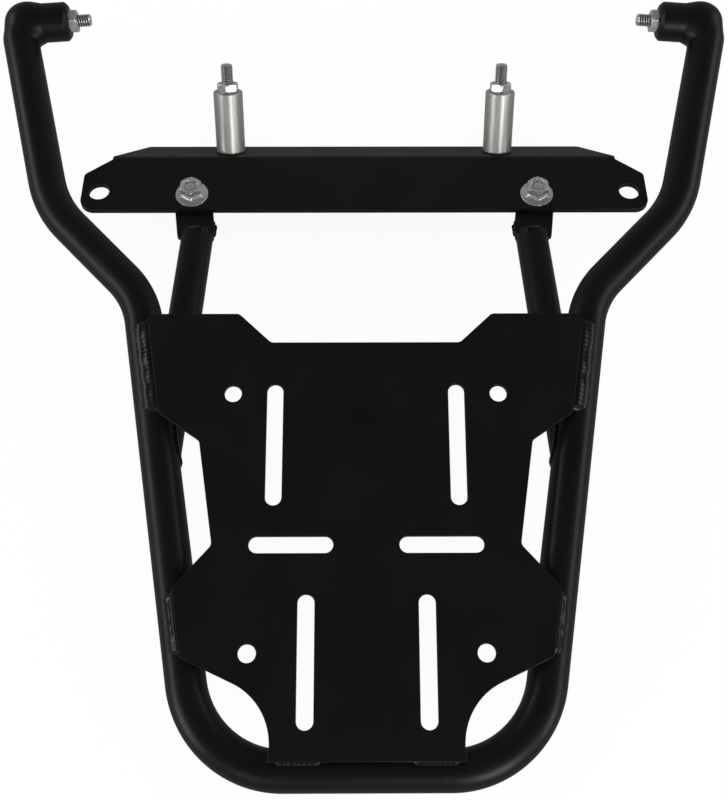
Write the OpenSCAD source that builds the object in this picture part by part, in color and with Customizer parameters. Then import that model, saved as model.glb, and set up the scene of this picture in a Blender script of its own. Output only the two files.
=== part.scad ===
// Motorcycle luggage rack: a bent tube frame under a flat carrier plate, with two struts that
// run down to a folded cross bracket. All sizes are in millimetres.
// X points to the right, Y points forward and Z points up. The origin lies on the top face of
// the carrier plate, midway between its two crosswise slots.

/* [Carrier plate] */
// Thickness of the carrier plate
plate_t = 3; // [2:0.5:5]
// Distance from the origin forward to the plate's middle front edge
plate_front_y = 115.5; // [108:0.5:122]
// Distance from the origin forward to the front edge of the front ears
ear_front_y = 133; // [126:0.5:142]
// Distance from the origin back to the plate's rear edge
plate_rear_y = 111; // [106:0.5:114]
// Half width of the recess between the front ears, at its floor
recess_half_w = 53.5; // [44:0.5:60]
// Sideways run of the sloping ends of that recess
recess_run = 18.5; // [10:0.5:26]
// Distance that the front ears stop short of the tube's centre line
front_ear_inset = 3.8; // [1:0.1:6]
// Distance that the rear ears reach past the tube's centre line
rear_ear_overlap = 0.4; // [0.2:0.1:2]
// Distance from the origin forward to the back corner of the front ears
front_ear_back_y = 74; // [70:0.5:80]
// Distance from the origin back to the front corner of the rear ears
rear_ear_front_y = 23; // [18:0.5:28]
// Distance from the origin back to the back corner of the rear ears
rear_ear_back_y = 59; // [50:0.5:66]
// Half width of the waist at its front end
waist_front_half_w = 92; // [86:0.5:94]
// Distance from the origin forward to the waist's front end
waist_front_y = 58; // [50:0.5:64]
// Half width of the waist at its rear end
waist_rear_half_w = 83; // [76:0.5:86]
// Angle at which the tail narrows behind the rear ears
tail_angle = 25; // [15:1:32]
// Half width of the tail at its narrowest
tail_half_w = 50; // [44:0.5:54]
// Radius of the scooped sides of the tail
tail_scoop_r = 34; // [28:0.5:36]
// Radius that rounds the plate's corners
plate_corner_r = 4; // [1:0.5:6]

/* [Plate holes and slots] */
// Diameter of the four round holes
hole_d = 9.6; // [6:0.1:12]
// Distance between the two front round holes
front_hole_pitch = 148; // [130:1:170]
// Distance from the origin forward to the front round holes
front_hole_y = 85; // [78:0.5:95]
// Distance between the two rear round holes
rear_hole_pitch = 125; // [112:1:135]
// Distance from the origin back to the rear round holes
rear_hole_y = 57; // [48:0.5:62]
// Width of all six slots
slot_w = 9; // [6:0.1:12]
// End-to-end length of the four lengthwise slots
long_slot_l = 69; // [40:1:75]
// Distance between the two front lengthwise slots
front_slot_pitch = 101; // [80:1:112]
// Distance from the origin forward to the middle of the front lengthwise slots
front_slot_y = 56; // [52:0.5:64]
// Distance between the two rear lengthwise slots
rear_slot_pitch = 64; // [40:1:76]
// Distance from the origin back to the middle of the rear lengthwise slots
rear_slot_y = 61; // [54:0.5:66]
// End-to-end length of the two crosswise slots
cross_slot_l = 45.5; // [30:0.5:52]
// Distance between the middles of the two crosswise slots
cross_slot_pitch = 81; // [70:1:90]

/* [Main tube] */
// Outer diameter of the main tube
tube_d = 22; // [19:0.5:26]
// Wall of the main tube
tube_wall = 2; // [1:0.1:3]
// Distance from the origin sideways to the tube's centre line
leg_half_w = 107; // [103:0.5:112]
// Angle at which the legs spread towards the front
leg_angle = 9.3; // [7:0.1:11]
// Distance from the origin back to the centre line of the rear bar
bar_y = 115.3; // [112:0.1:120]
// Centre line radius of the two rear corners
corner_bend_r = 52.6; // [46:0.2:56]
// Distance from the origin forward to the first bend of the arms
kink_y = 149; // [144:0.5:156]
// Angle of the sloping part of the arms
kink_angle = 44.3; // [38:0.1:50]
// Centre line radius of the arms' first bend
kink_bend_r = 52; // [35:1:60]
// Distance from the middle sideways to the second bend of the arms
shoulder_half_w = 188.5; // [182:0.5:195]
// Centre line radius of the arms' second bend
shoulder_bend_r = 64; // [40:1:75]
// Angle at which the arms' front ends spread
arm_angle = 13.7; // [8:0.1:18]
// Distance from the origin forward to the end of the tube
arm_end_y = 328; // [310:1:345]

/* [Side bosses] */
// Diameter of the bosses at the front ends of the arms
boss_d = 24; // [22:0.5:28]
// Distance from the centre of a boss's ball end to its inner face
boss_l = 28; // [22:0.5:34]
// Forward distance from the tube's end to the boss's axis
boss_lead = 8; // [6:0.5:10]
// Sideways distance from the tube's centre line to the ball end's centre
boss_inset = 4.6; // [2:0.2:6]
// Angle at which the bosses point forward
boss_toe = 4.5; // [0:0.5:8]
// Chamfer on a boss's inner face
boss_chamfer = 2.2; // [0.5:0.1:3]
// Depth of the threaded hole in a boss
boss_thread_l = 20; // [12:1:24]
// Length of the fitting's spigot inside the tube
spigot_l = 14; // [11.5:0.5:24]
// Distance that a side stud stands out past its nut
side_stud_free_l = 8.4; // [6:0.2:16]

/* [Struts] */
// Outer diameter of the struts
strut_d = 20; // [16:0.5:21]
// Wall of the struts
strut_wall = 2; // [1:0.1:3]
// Angle at which struts and bracket slope down towards the front
drop_angle = 13.5; // [8:0.5:20]
// Distance from the origin forward to where a strut leaves the main tube
strut_root_y = 45; // [35:1:55]
// Half distance between the struts' lower ends
strut_end_half_w = 105.5; // [98:0.5:112]
// Length of a strut from the main tube's centre line to its lower end
strut_l = 179; // [172:0.5:184]

/* [Strut tabs] */
// Thickness of the tabs
tab_t = 4; // [3:0.5:6]
// Width of a tab at the strut
tab_w = 24; // [22:0.5:28]
// Length of tab inside the strut's slot
tab_grip_l = 15; // [10:0.5:22]
// Length of tab beyond its bolt
tab_end_l = 11.5; // [11:0.5:14]
// Radius of a tab's front corners
tab_corner_r = 8; // [1:0.5:10]
// Chamfer on a tab's back corners
tab_chamfer = 4; // [1:0.5:6]

/* [Cross bracket] */
// Thickness of the bracket's sheet
sheet_t = 4; // [3:0.5:5]
// Overall width of the bracket
bracket_w = 365; // [355:1:372]
// Gap between a strut's lower end and the bracket's rear edge
strut_gap = 5; // [2:0.5:8]
// Depth of the bracket's main face, up to the fold
face_depth = 45; // [40:0.5:52]
// Angle of the fold
fold_angle = 31; // [15:1:60]
// Inside radius of the fold
fold_r = 3; // [1:0.5:5]
// Depth of the front flange, from the fold
flange_depth = 25.5; // [24:0.5:34]
// Width of the flange at its front edge
flange_front_w = 290; // [270:1:310]
// Width of the flange at the fold
flange_root_w = 331; // [320:1:340]
// Radius of the bracket's rear corners
bracket_corner_r = 9; // [3:0.5:12]
// Length of the sloping cut at the bracket's front corners, along the end
end_cut = 15; // [8:0.5:20]
// Diameter of the hole near each end of the bracket
end_hole_d = 13; // [8:0.5:16]
// Distance between the two end holes
end_hole_pitch = 342.5; // [330:0.5:346]
// Distance from the bracket's rear edge to its end holes
end_hole_inset = 15.3; // [12:0.1:20]
// Half distance between the two bracket bolts
bolt_half_w = 111; // [104:0.5:118]
// Distance from the bracket's rear edge to its bolts
bolt_inset = 12.4; // [11:0.1:18]

/* [Spacers] */
// Diameter of the spacers
spacer_d = 19; // [16:0.5:22]
// Length of the spacers
spacer_l = 40; // [25:0.5:60]
// Chamfer on the spacers' rims
spacer_chamfer = 0.8; // [0.2:0.1:1.5]
// Half distance between the two spacers
spacer_half_w = 89; // [70:0.5:100]
// Distance from the fold to a spacer's centre, along the flange
spacer_inset = 13.4; // [13:0.1:16]
// Distance that a spacer's bolt stands out past its nut
spacer_stud_free_l = 12; // [6:0.5:25]

/* [Fasteners] */
// Diameter of all bolts and studs
thread_d = 7.9; // [7.6:0.1:8]
// Diameter at which engaged threads meet, inside nuts and bosses
thread_pitch_d = 7.2; // [6.6:0.1:7.4]
// Length of bare groove between a nut and the free thread beyond it
thread_groove_l = 0.5; // [0.3:0.1:0.8]
// Clearance between a bolt and its hole, all round
bolt_clearance = 0.4; // [0.2:0.1:0.8]
// Width across the flats of nuts and bolt heads
hex_af = 13; // [12:0.5:14]
// Thickness of the nuts on the side studs and on the spacers
thin_nut_h = 5; // [4:0.5:6.5]
// Thickness of the nuts below the bracket
nut_h = 6.5; // [5:0.5:8]
// Diameter of the bracket bolts' round flange
bolt_flange_d = 21; // [17:0.5:21.5]
// Rim height of that flange
bolt_flange_h = 1.2; // [0.8:0.1:2]
// Height of the bracket bolts' heads, flange included
bolt_head_h = 9; // [7:0.5:11]
// Depth of the dish in the bracket bolts' heads
dish_depth = 2.4; // [1:0.1:4]
// Diameter of that dish at its mouth
dish_d = 10; // [8:0.2:10.6]
// Height of the heads on the spacer bolts
spacer_head_h = 5.3; // [4:0.1:7]
// Outer diameter of the washers below the bracket
washer_d = 16; // [14:0.5:18]
// Thickness of those washers
washer_t = 1.6; // [1:0.1:2.5]
// Length of thread showing below a bracket bolt's nut
bolt_end_l = 3; // [1:0.5:6]

/* [Weld beads] */
// Radius of the beads along the plate's edges
plate_bead_r = 2.8; // [1.5:0.1:3]
// Reach of the welds where two tubes meet
joint_bead = 2.2; // [1:0.1:3]
// Distance from a strut's root to the start of its weld
strut_weld_start = 14; // [12:1:18]
// Length of the beads along a strut's coped end
strut_weld_l = 40; // [20:1:40]
// Length of each bead on the plate's rear edge
rear_bead_l = 24; // [10:1:40]

/* [Hidden] */
$fn = 96;
LEFT = -1;
RIGHT = 1;
TUBE_FN = 48;
// Length by which a cut runs past the faces that it opens
CUT = 1;
// Bending leaves the bends this much larger in radius than the straight runs, which reach into them
BEND_SWELL = 0.05;
BEND_REACH = 0.8;
// Turned rim of a hexagon's end face, as a share of its flats, and the angle of the chamfer outside it
HEX_RIM = 0.97;
HEX_CHAMFER = 30;
HEX_MARGIN = 0.2;
// Chamfer at the tip of a thread, and the slope of the side of the dish in a bolt's head
TIP_CHAMFER = 1;
DISH_SLOPE = 0.8;
POWDER_BLACK = "#1a1a1b";
BARE_STEEL = "#b9b9b7";
ZINC = "#a9abad";

// Main tube: centre line in the horizontal plane at tube_z. A heading is an angle from +Y towards +X.
tube_r = tube_d / 2;
tube_z = -plate_t - tube_r;
function heading(a) = [sin(a), cos(a)];
function leg_x(y) = leg_half_w + y * tan(leg_angle);
rear_corner = [leg_x(-bar_y), -bar_y];
kink = [leg_x(kink_y), kink_y];
shoulder = [shoulder_half_w, kink_y + (shoulder_half_w - kink.x) / tan(kink_angle)];
arm_end = [shoulder_half_w + (arm_end_y - shoulder.y) * tan(arm_angle), arm_end_y];
CORNERS = [rear_corner, kink, shoulder];
BEND_RADII = [corner_bend_r, kink_bend_r, shoulder_bend_r];
HEADINGS = [90, leg_angle, kink_angle, arm_angle];
function turn(i) = HEADINGS[i + 1] - HEADINGS[i];
function tangent_l(i) = BEND_RADII[i] * tan(abs(turn(i)) / 2);
function bend_start(i) = CORNERS[i] - tangent_l(i) * heading(HEADINGS[i]);
function bend_end(i) = CORNERS[i] + tangent_l(i) * heading(HEADINGS[i + 1]);
RUN_STARTS = [for (i = [0:2]) bend_end(i)];
RUN_ENDS = [bend_start(1), bend_start(2), arm_end];

// Plate outline. Each ear's outer edge runs parallel to the tube's centre line.
function ear_edge(y, overlap) = [leg_x(y) + overlap / cos(leg_angle), y];
tail_start = ear_edge(-rear_ear_back_y, rear_ear_overlap);
scoop_x = tail_half_w + tail_scoop_r;
scoop_y = tail_start.y - (tail_start.x - scoop_x) * tan(tail_angle) - tail_scoop_r / cos(tail_angle);
scoop_tangent = [scoop_x - tail_scoop_r * sin(tail_angle), scoop_y + tail_scoop_r * cos(tail_angle)];
OUTLINE = [
    [0, plate_front_y],
    [recess_half_w, plate_front_y],
    [recess_half_w + recess_run, ear_front_y],
    ear_edge(ear_front_y, -front_ear_inset),
    ear_edge(front_ear_back_y, -front_ear_inset),
    [waist_front_half_w, waist_front_y],
    [waist_rear_half_w, 0],
    ear_edge(-rear_ear_front_y, rear_ear_overlap),
    tail_start,
    scoop_tangent,
    [scoop_tangent.x, -plate_rear_y],
    [0, -plate_rear_y]
];
OUTER_CORNERS = [2, 3, 4, 7, 8];
INNER_CORNERS = [1, 5, 6];

// Side bosses: the ball end's centre, and a frame whose X axis points inwards along the boss.
boss_r = boss_d / 2;
ball_centre = arm_end + boss_lead * heading(arm_angle) - boss_inset * [cos(arm_angle), -sin(arm_angle)];
stud_r = thread_d / 2;
engaged_r = thread_pitch_d / 2;
side_stud_out = thin_nut_h + side_stud_free_l;

// Bracket frame: its origin lies on the line through the struts' roots, its Y axis runs down the
// slope, and its Z axis is the normal of the struts' plane. The tabs straddle that plane.
strut_r = strut_d / 2;
bracket_rear_l = strut_l + strut_gap;
strut_root_x = leg_x(strut_root_y);
strut_run = sqrt(strut_l * strut_l - pow(strut_root_x - strut_end_half_w, 2));
strut_toe = asin((strut_root_x - strut_end_half_w) / strut_l);
sheet_z = tab_t / 2;
bolt_u = bracket_rear_l + bolt_inset;
fold_outer_r = fold_r + sheet_t;
fold_setback = fold_outer_r * tan(fold_angle / 2);
fold_u = bracket_rear_l + face_depth - fold_setback;
flange_l = flange_depth - fold_setback;
shank_hole_r = stud_r + bolt_clearance;
FOLD_STEPS = 8;
function fold_normal(i) = let (a = fold_angle * i / FOLD_STEPS) [sin(a), cos(a)];
tab_back = [strut_end_half_w + tab_grip_l * tan(strut_toe), strut_run - tab_grip_l];
tab_run = [bolt_half_w, bolt_u] - tab_back;
tab_turn = atan2(tab_run.x, tab_run.y);
tab_l = norm(tab_run);
bolt_grip = sheet_t + tab_t + washer_t;

// Children drawn along the tube's plane from point a, with their Z axis at a heading
module along(a, h) {
    translate([a.x, a.y, tube_z])
        rotate([-90, 0, -h])
            children();
}

module leg_bar(r) {
    along(RUN_STARTS[0], leg_angle) cylinder(r = r, h = norm(RUN_ENDS[0] - RUN_STARTS[0]));
}

// Round bar that reaches into the bends at its ends
module straight_bar(a, b, h, r, reach = BEND_REACH) {
    along(a - BEND_REACH * heading(h), h)
        linear_extrude(norm(b - a) + BEND_REACH + reach)
            circle(r = r, $fn = TUBE_FN);
}

// Round bar around bend i, as one stretch of a torus
module bent_bar(i, r) {
    left_turn = turn(i) < 0;
    side = left_turn ? -1 : 1;
    h = HEADINGS[i];
    centre = bend_start(i) + side * BEND_RADII[i] * [cos(h), -sin(h)];
    first = left_turn ? -h : 180 - HEADINGS[i + 1];
    translate([centre.x, centre.y, tube_z])
        rotate([0, 0, first])
            rotate_extrude(angle = abs(turn(i)), $fn = TUBE_FN)
                translate([BEND_RADII[i], 0])
                    circle(r = r + BEND_SWELL, $fn = TUBE_FN);
}

// The whole tube as a solid bar: with its outer radius it is the skin, with its inner one the bore
module tube_bar(r) {
    start = bend_start(0);
    straight_bar([-start.x, start.y], start, HEADINGS[0], r);
    for (side = [LEFT, RIGHT])
        on_side(side)
            for (i = [0:2]) {
                bent_bar(i, r);
                straight_bar(RUN_STARTS[i], RUN_ENDS[i], HEADINGS[i + 1], r, i < 2 ? BEND_REACH : 0);
            }
}

module on_side(side) {
    mirror([side < 0 ? 1 : 0, 0, 0]) children();
}

// Children drawn with their X axis pointing inwards along a boss, from its ball end's centre
module boss_frame() {
    translate([ball_centre.x, ball_centre.y, tube_z])
        rotate([0, 0, 180 - boss_toe])
            children();
}

// Children drawn in the sloping plane of struts and bracket
module bracket_frame() {
    translate([0, strut_root_y, tube_z])
        rotate([-drop_angle, 0, 0])
            children();
}

// Children drawn on the flange: Y runs forward along it from the fold, Z is its normal
module flange_frame() {
    bracket_frame()
        translate([0, fold_u, sheet_z - fold_r])
            rotate([-fold_angle, 0, 0])
                translate([0, 0, fold_r])
                    children();
}

// Children drawn with their Z axis along a strut, from its root
module strut_frame() {
    bracket_frame()
        translate([strut_root_x, 0, 0])
            rotate([-90, 0, strut_toe])
                children();
}

// The patch between a corner at p, whose neighbours are a and b, and the arc that rounds it
module corner_patch(p, a, b, r) {
    ua = (a - p) / norm(a - p);
    ub = (b - p) / norm(b - p);
    half = acos(ua * ub) / 2;
    reach = r / tan(half);
    centre = p + (ua + ub) / norm(ua + ub) * r / sin(half);
    difference() {
        polygon([p, p + ua * reach, centre, p + ub * reach]);
        translate(centre) circle(r = r);
    }
}

// Polygon of points with its outer corners rounded off and its inner corners filled
module rounded_outline(points, outer, inner, r) {
    n = len(points);
    difference() {
        union() {
            polygon(points);
            for (i = inner)
                corner_patch(points[i], points[(i + n - 1) % n], points[(i + 1) % n], r);
        }
        for (i = outer)
            corner_patch(points[i], points[(i + n - 1) % n], points[(i + 1) % n], r);
    }
}

module slot_shape(l, w) {
    square([l - w, w], center = true);
    for (s = [-1, 1])
        translate([s * (l - w) / 2, 0])
            circle(d = w);
}

module half_plate_shape() {
    difference() {
        rounded_outline(OUTLINE, OUTER_CORNERS, INNER_CORNERS, plate_corner_r);
        translate([scoop_x, scoop_y]) circle(r = tail_scoop_r);
        translate([front_hole_pitch / 2, front_hole_y]) circle(d = hole_d);
        translate([rear_hole_pitch / 2, -rear_hole_y]) circle(d = hole_d);
        translate([front_slot_pitch / 2, front_slot_y]) rotate(90) slot_shape(long_slot_l, slot_w);
        translate([rear_slot_pitch / 2, -rear_slot_y]) rotate(90) slot_shape(long_slot_l, slot_w);
        translate([cross_slot_pitch / 2, 0]) slot_shape(cross_slot_l, slot_w);
    }
}

module plate_solid() {
    translate([0, 0, -plate_t])
        linear_extrude(plate_t) {
            half_plate_shape();
            mirror([1, 0]) half_plate_shape();
        }
}

// A boss without its thread: a round bar with a ball end and a chamfered inner face
module boss_blank() {
    boss_frame()
        rotate([0, 90, 0])
            rotate_extrude() {
                intersection() {
                    circle(r = boss_r);
                    translate([0, -boss_r]) square(boss_r);
                }
                polygon([
                    [0, 0],
                    [boss_r, 0],
                    [boss_r, boss_l - boss_chamfer],
                    [boss_r - boss_chamfer, boss_l],
                    [0, boss_l]
                ]);
            }
}

// Dome that closes the tube, with the spigot behind it
module tube_plug() {
    along(arm_end, arm_angle)
        rotate_extrude() {
            intersection() {
                circle(r = tube_r);
                square(tube_r);
            }
            translate([0, -spigot_l]) square([tube_r - tube_wall, spigot_l]);
        }
}

// Hexagon bar with both rims turned to a chamfer, as on a nut
module hex_blank(h, chamfered_bottom = true) {
    corner_r = hex_af / 2 / cos(30);
    blank_r = corner_r + HEX_MARGIN;
    rim = hex_af / 2 * HEX_RIM;
    drop = (blank_r - rim) * tan(HEX_CHAMFER);
    intersection() {
        cylinder(r = corner_r, h = h, $fn = 6);
        rotate_extrude()
            polygon([
                [0, 0],
                [chamfered_bottom ? rim : blank_r, 0],
                [blank_r, chamfered_bottom ? drop : 0],
                [blank_r, h - drop],
                [rim, h],
                [0, h]
            ]);
    }
}

module hex_nut(h) {
    difference() {
        hex_blank(h);
        translate([0, 0, -CUT]) cylinder(r = engaged_r, h = h + 2 * CUT);
    }
}

// Threaded bar: a plain shank, then its engaged thread, then the free thread up to a chamfered tip
module stud_bar(shank_l, engaged_l, l) {
    free_start = shank_l + engaged_l + thread_groove_l;
    rotate_extrude()
        polygon(concat(
            [[0, 0]],
            shank_l > 0 ? [[stud_r, 0], [stud_r, shank_l]] : [],
            [
                [engaged_r, shank_l],
                [engaged_r, free_start],
                [stud_r, free_start],
                [stud_r, l - TIP_CHAMFER],
                [stud_r - TIP_CHAMFER, l],
                [0, l]
            ]
        ));
}

// Bead of weld along an edge of the plate that rests on the tube. It runs from point a for length l
// at heading h, and the edge lies past the tube's centre line by the overlap.
module edge_bead(a, h, l, overlap) {
    translate([a.x, a.y, -plate_t])
        rotate([90, 0, 180 - h])
            linear_extrude(l)
                difference() {
                    circle(r = plate_bead_r);
                    translate([0, -plate_t]) square([plate_t, 2 * plate_t]);
                    translate([overlap, -tube_r]) circle(r = tube_r);
                }
}

// Bead along an ear's outer edge, between y_back and y_front
module ear_weld(y_back, y_front, overlap) {
    edge_bead(
        ear_edge(y_back, overlap),
        leg_angle,
        (y_front - y_back) / cos(leg_angle),
        overlap
    );
}

module tab_shape() {
    half = tab_w / 2;
    points = [
        [-half, tab_end_l],
        [half, tab_end_l],
        [half, tab_chamfer - tab_l],
        [half - tab_chamfer, -tab_l],
        [tab_chamfer - half, -tab_l],
        [-half, tab_chamfer - tab_l]
    ];
    translate([bolt_half_w, bolt_u])
        rotate(-tab_turn)
            difference() {
                rounded_outline(points, [0, 1], [], tab_corner_r);
                circle(r = shank_hole_r);
            }
}

module tab_solid() {
    bracket_frame()
        translate([0, 0, -tab_t / 2])
            linear_extrude(tab_t)
                tab_shape();
}

module strut_bar(r) {
    strut_frame() cylinder(r = r, h = strut_l);
}

// Section of the folded sheet: main face, fold and front flange
module bracket_section() {
    centre = [fold_u, sheet_z - fold_r];
    along_flange = [cos(fold_angle), -sin(fold_angle)];
    polygon(concat(
        [[bracket_rear_l, sheet_z]],
        [for (i = [0:FOLD_STEPS]) centre + fold_r * fold_normal(i)],
        [centre + fold_r * fold_normal(FOLD_STEPS) + flange_l * along_flange],
        [centre + fold_outer_r * fold_normal(FOLD_STEPS) + flange_l * along_flange],
        [for (i = [FOLD_STEPS:-1:0]) centre + fold_outer_r * fold_normal(i)],
        [[bracket_rear_l, sheet_z + sheet_t]]
    ));
}

// What is cut from the right half of the sheet, seen square on to its main face
module face_cuts() {
    w = bracket_w / 2;
    end_y = bracket_rear_l + face_depth - end_cut;
    root = [flange_root_w / 2, fold_u];
    end_corner = [w, end_y];
    rear_corner = [w, bracket_rear_l];
    polygon([
        root,
        end_corner,
        end_corner + [CUT, 0],
        [w + CUT, fold_u + flange_depth],
        [root.x, fold_u + flange_depth]
    ]);
    corner_patch(end_corner, root, rear_corner, plate_corner_r);
    corner_patch(rear_corner, end_corner, [0, bracket_rear_l], bracket_corner_r);
    translate([end_hole_pitch / 2, bracket_rear_l + end_hole_inset]) circle(d = end_hole_d);
    translate([bolt_half_w, bolt_u]) circle(r = shank_hole_r);
}

// What is cut from the right half of the flange, seen square on to it
module flange_cuts() {
    root = [flange_root_w / 2, 0];
    front = [flange_front_w / 2, flange_l];
    polygon([root, root + [CUT, 0], [root.x + CUT, flange_l + CUT], [front.x, flange_l + CUT], front]);
    corner_patch(front, root, [0, flange_l], plate_corner_r);
    translate([spacer_half_w, spacer_inset - fold_setback]) circle(r = shank_hole_r);
}

module main_tube() {
    color(POWDER_BLACK)
        difference() {
            tube_bar(tube_r);
            tube_bar(tube_r - tube_wall);
            boss_blank();
            mirror([1, 0, 0]) boss_blank();
        }
}

module top_plate() {
    color(POWDER_BLACK) plate_solid();
}

// Fitting that closes the tube: spigot, dome and a boss with a threaded hole
module end_fitting(side) {
    color(POWDER_BLACK)
        on_side(side)
            difference() {
                union() {
                    tube_plug();
                    boss_blank();
                }
                boss_frame()
                    translate([boss_l - boss_thread_l, 0, 0])
                        rotate([0, 90, 0])
                            cylinder(r = engaged_r, h = boss_thread_l + CUT);
            }
}

// Weld between the arm's inner side and its boss: the space that is near both skins
module fitting_weld(side) {
    color(POWDER_BLACK)
        on_side(side)
            difference() {
                intersection() {
                    along(arm_end - boss_r * heading(arm_angle), arm_angle)
                        cylinder(r = tube_r + joint_bead, h = boss_r);
                    boss_frame()
                        rotate([0, 90, 0])
                            cylinder(r = boss_r + joint_bead, h = boss_r);
                }
                along(arm_end - boss_l * heading(arm_angle), arm_angle)
                    cylinder(r = tube_r, h = boss_l);
                boss_blank();
            }
}

module front_ear_weld(side) {
    color(POWDER_BLACK)
        on_side(side)
            ear_weld(
                front_ear_back_y + plate_corner_r,
                ear_front_y - 2 * plate_corner_r,
                -front_ear_inset
            );
}

module rear_ear_weld(side) {
    color(POWDER_BLACK)
        on_side(side)
            ear_weld(
                plate_corner_r - rear_ear_back_y,
                -rear_ear_front_y - plate_corner_r,
                rear_ear_overlap
            );
}

// Short bead at each end of the plate's rear edge
module rear_edge_weld(side) {
    color(POWDER_BLACK)
        on_side(side)
            edge_bead(
                [tail_half_w - plate_bead_r - rear_bead_l, -plate_rear_y],
                HEADINGS[0],
                rear_bead_l,
                plate_rear_y - bar_y
            );
}

// Strut: a tube that is coped to the main tube and slotted over its tab
module strut(side) {
    color(POWDER_BLACK)
        on_side(side)
            difference() {
                strut_bar(strut_r);
                strut_bar(strut_r - strut_wall);
                leg_bar(tube_r);
                tab_solid();
            }
}

// Weld along both sides of a strut's coped end, where its skin is near the main tube's
module strut_weld(side) {
    color(POWDER_BLACK)
        on_side(side)
            difference() {
                intersection() {
                    leg_bar(tube_r + joint_bead);
                    strut_frame()
                        translate([0, 0, strut_weld_start])
                            cylinder(r = strut_r + joint_bead, h = strut_weld_l);
                }
                leg_bar(tube_r);
                strut_bar(strut_r);
            }
}

module strut_tab(side) {
    color(POWDER_BLACK) on_side(side) tab_solid();
}

// Four fillets where a tab passes through its strut's wall
module tab_weld(side) {
    color(POWDER_BLACK)
        on_side(side)
            difference() {
                intersection() {
                    strut_bar(strut_r + joint_bead);
                    bracket_frame()
                        translate([0, 0, -tab_t / 2 - joint_bead])
                            linear_extrude(tab_t + 2 * joint_bead)
                                tab_shape();
                }
                strut_bar(strut_r);
                tab_solid();
            }
}

// One folded sheet, cut to its outline and drilled on both sides
module cross_bracket() {
    color(POWDER_BLACK)
        difference() {
            bracket_frame()
                rotate([90, 0, 90])
                    linear_extrude(bracket_w, center = true)
                        bracket_section();
            for (side = [LEFT, RIGHT])
                on_side(side) {
                    bracket_frame()
                        translate([0, 0, -flange_depth])
                            linear_extrude(2 * flange_depth)
                                face_cuts();
                    flange_frame()
                        translate([0, 0, -CUT])
                            linear_extrude(sheet_t + 2 * CUT)
                                flange_cuts();
                }
        }
}

// Hexagon bolt with a round flange and a dished head, standing on the bracket
module bracket_bolt(side) {
    color(BARE_STEEL)
        on_side(side)
            bracket_frame()
                translate([bolt_half_w, bolt_u, sheet_z + sheet_t]) {
                    difference() {
                        union() {
                            hex_blank(bolt_head_h, false);
                            rotate_extrude()
                                polygon([
                                    [0, 0],
                                    [bolt_flange_d / 2, 0],
                                    [bolt_flange_d / 2, bolt_flange_h / 2],
                                    [hex_af / 2, bolt_flange_h * 2],
                                    [0, bolt_flange_h * 2]
                                ]);
                        }
                        translate([0, 0, bolt_head_h - dish_depth])
                            cylinder(
                                r1 = dish_d / 2 - dish_depth * DISH_SLOPE,
                                r2 = dish_d / 2,
                                h = dish_depth
                            );
                    }
                    mirror([0, 0, 1]) stud_bar(bolt_grip, nut_h, bolt_grip + nut_h + bolt_end_l);
                }
}

module bracket_washer(side) {
    color(ZINC)
        on_side(side)
            bracket_frame()
                translate([bolt_half_w, bolt_u, -tab_t / 2 - washer_t])
                    difference() {
                        cylinder(d = washer_d, h = washer_t);
                        translate([0, 0, -CUT]) cylinder(r = shank_hole_r, h = washer_t + 2 * CUT);
                    }
}

module bracket_nut(side) {
    color(ZINC)
        on_side(side)
            bracket_frame()
                translate([bolt_half_w, bolt_u, -tab_t / 2 - washer_t - nut_h])
                    hex_nut(nut_h);
}

// Children drawn at a spacer's foot, with Z along the spacer
module spacer_frame() {
    flange_frame()
        translate([spacer_half_w, spacer_inset - fold_setback, sheet_t])
            children();
}

module spacer(side) {
    rim = spacer_d / 2 - spacer_chamfer;
    color(BARE_STEEL)
        on_side(side)
            spacer_frame()
                rotate_extrude()
                    polygon([
                        [shank_hole_r, 0],
                        [rim, 0],
                        [spacer_d / 2, spacer_chamfer],
                        [spacer_d / 2, spacer_l - spacer_chamfer],
                        [rim, spacer_l],
                        [shank_hole_r, spacer_l]
                    ]);
}

// Hexagon bolt from below the flange, up through the spacer
module spacer_bolt(side) {
    grip = sheet_t + spacer_l;
    color(BARE_STEEL)
        on_side(side)
            spacer_frame()
                translate([0, 0, -sheet_t]) {
                    stud_bar(grip, thin_nut_h, grip + thin_nut_h + spacer_stud_free_l);
                    mirror([0, 0, 1]) hex_blank(spacer_head_h, false);
                }
}

module spacer_nut(side) {
    color(BARE_STEEL)
        on_side(side)
            spacer_frame()
                translate([0, 0, spacer_l])
                    hex_nut(thin_nut_h);
}

module side_stud(side) {
    color(ZINC)
        on_side(side)
            boss_frame()
                translate([boss_l - boss_thread_l, 0, 0])
                    rotate([0, 90, 0])
                        stud_bar(0, boss_thread_l + thin_nut_h, boss_thread_l + side_stud_out);
}

module side_nut(side) {
    color(ZINC)
        on_side(side)
            boss_frame()
                translate([boss_l, 0, 0])
                    rotate([0, 90, 0])
                        hex_nut(thin_nut_h);
}

main_tube();
top_plate();
end_fitting(LEFT);  // end_fitting_left
end_fitting(RIGHT);  // end_fitting_right
fitting_weld(LEFT);  // fitting_weld_left
fitting_weld(RIGHT);  // fitting_weld_right
front_ear_weld(LEFT);  // front_ear_weld_left
front_ear_weld(RIGHT);  // front_ear_weld_right
rear_ear_weld(LEFT);  // rear_ear_weld_left
rear_ear_weld(RIGHT);  // rear_ear_weld_right
rear_edge_weld(LEFT);  // rear_edge_weld_left
rear_edge_weld(RIGHT);  // rear_edge_weld_right
strut(LEFT);  // strut_left
strut(RIGHT);  // strut_right
strut_weld(LEFT);  // strut_weld_left
strut_weld(RIGHT);  // strut_weld_right
strut_tab(LEFT);  // strut_tab_left
strut_tab(RIGHT);  // strut_tab_right
tab_weld(LEFT);  // tab_weld_left
tab_weld(RIGHT);  // tab_weld_right
cross_bracket();
bracket_bolt(LEFT);  // bracket_bolt_left
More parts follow.
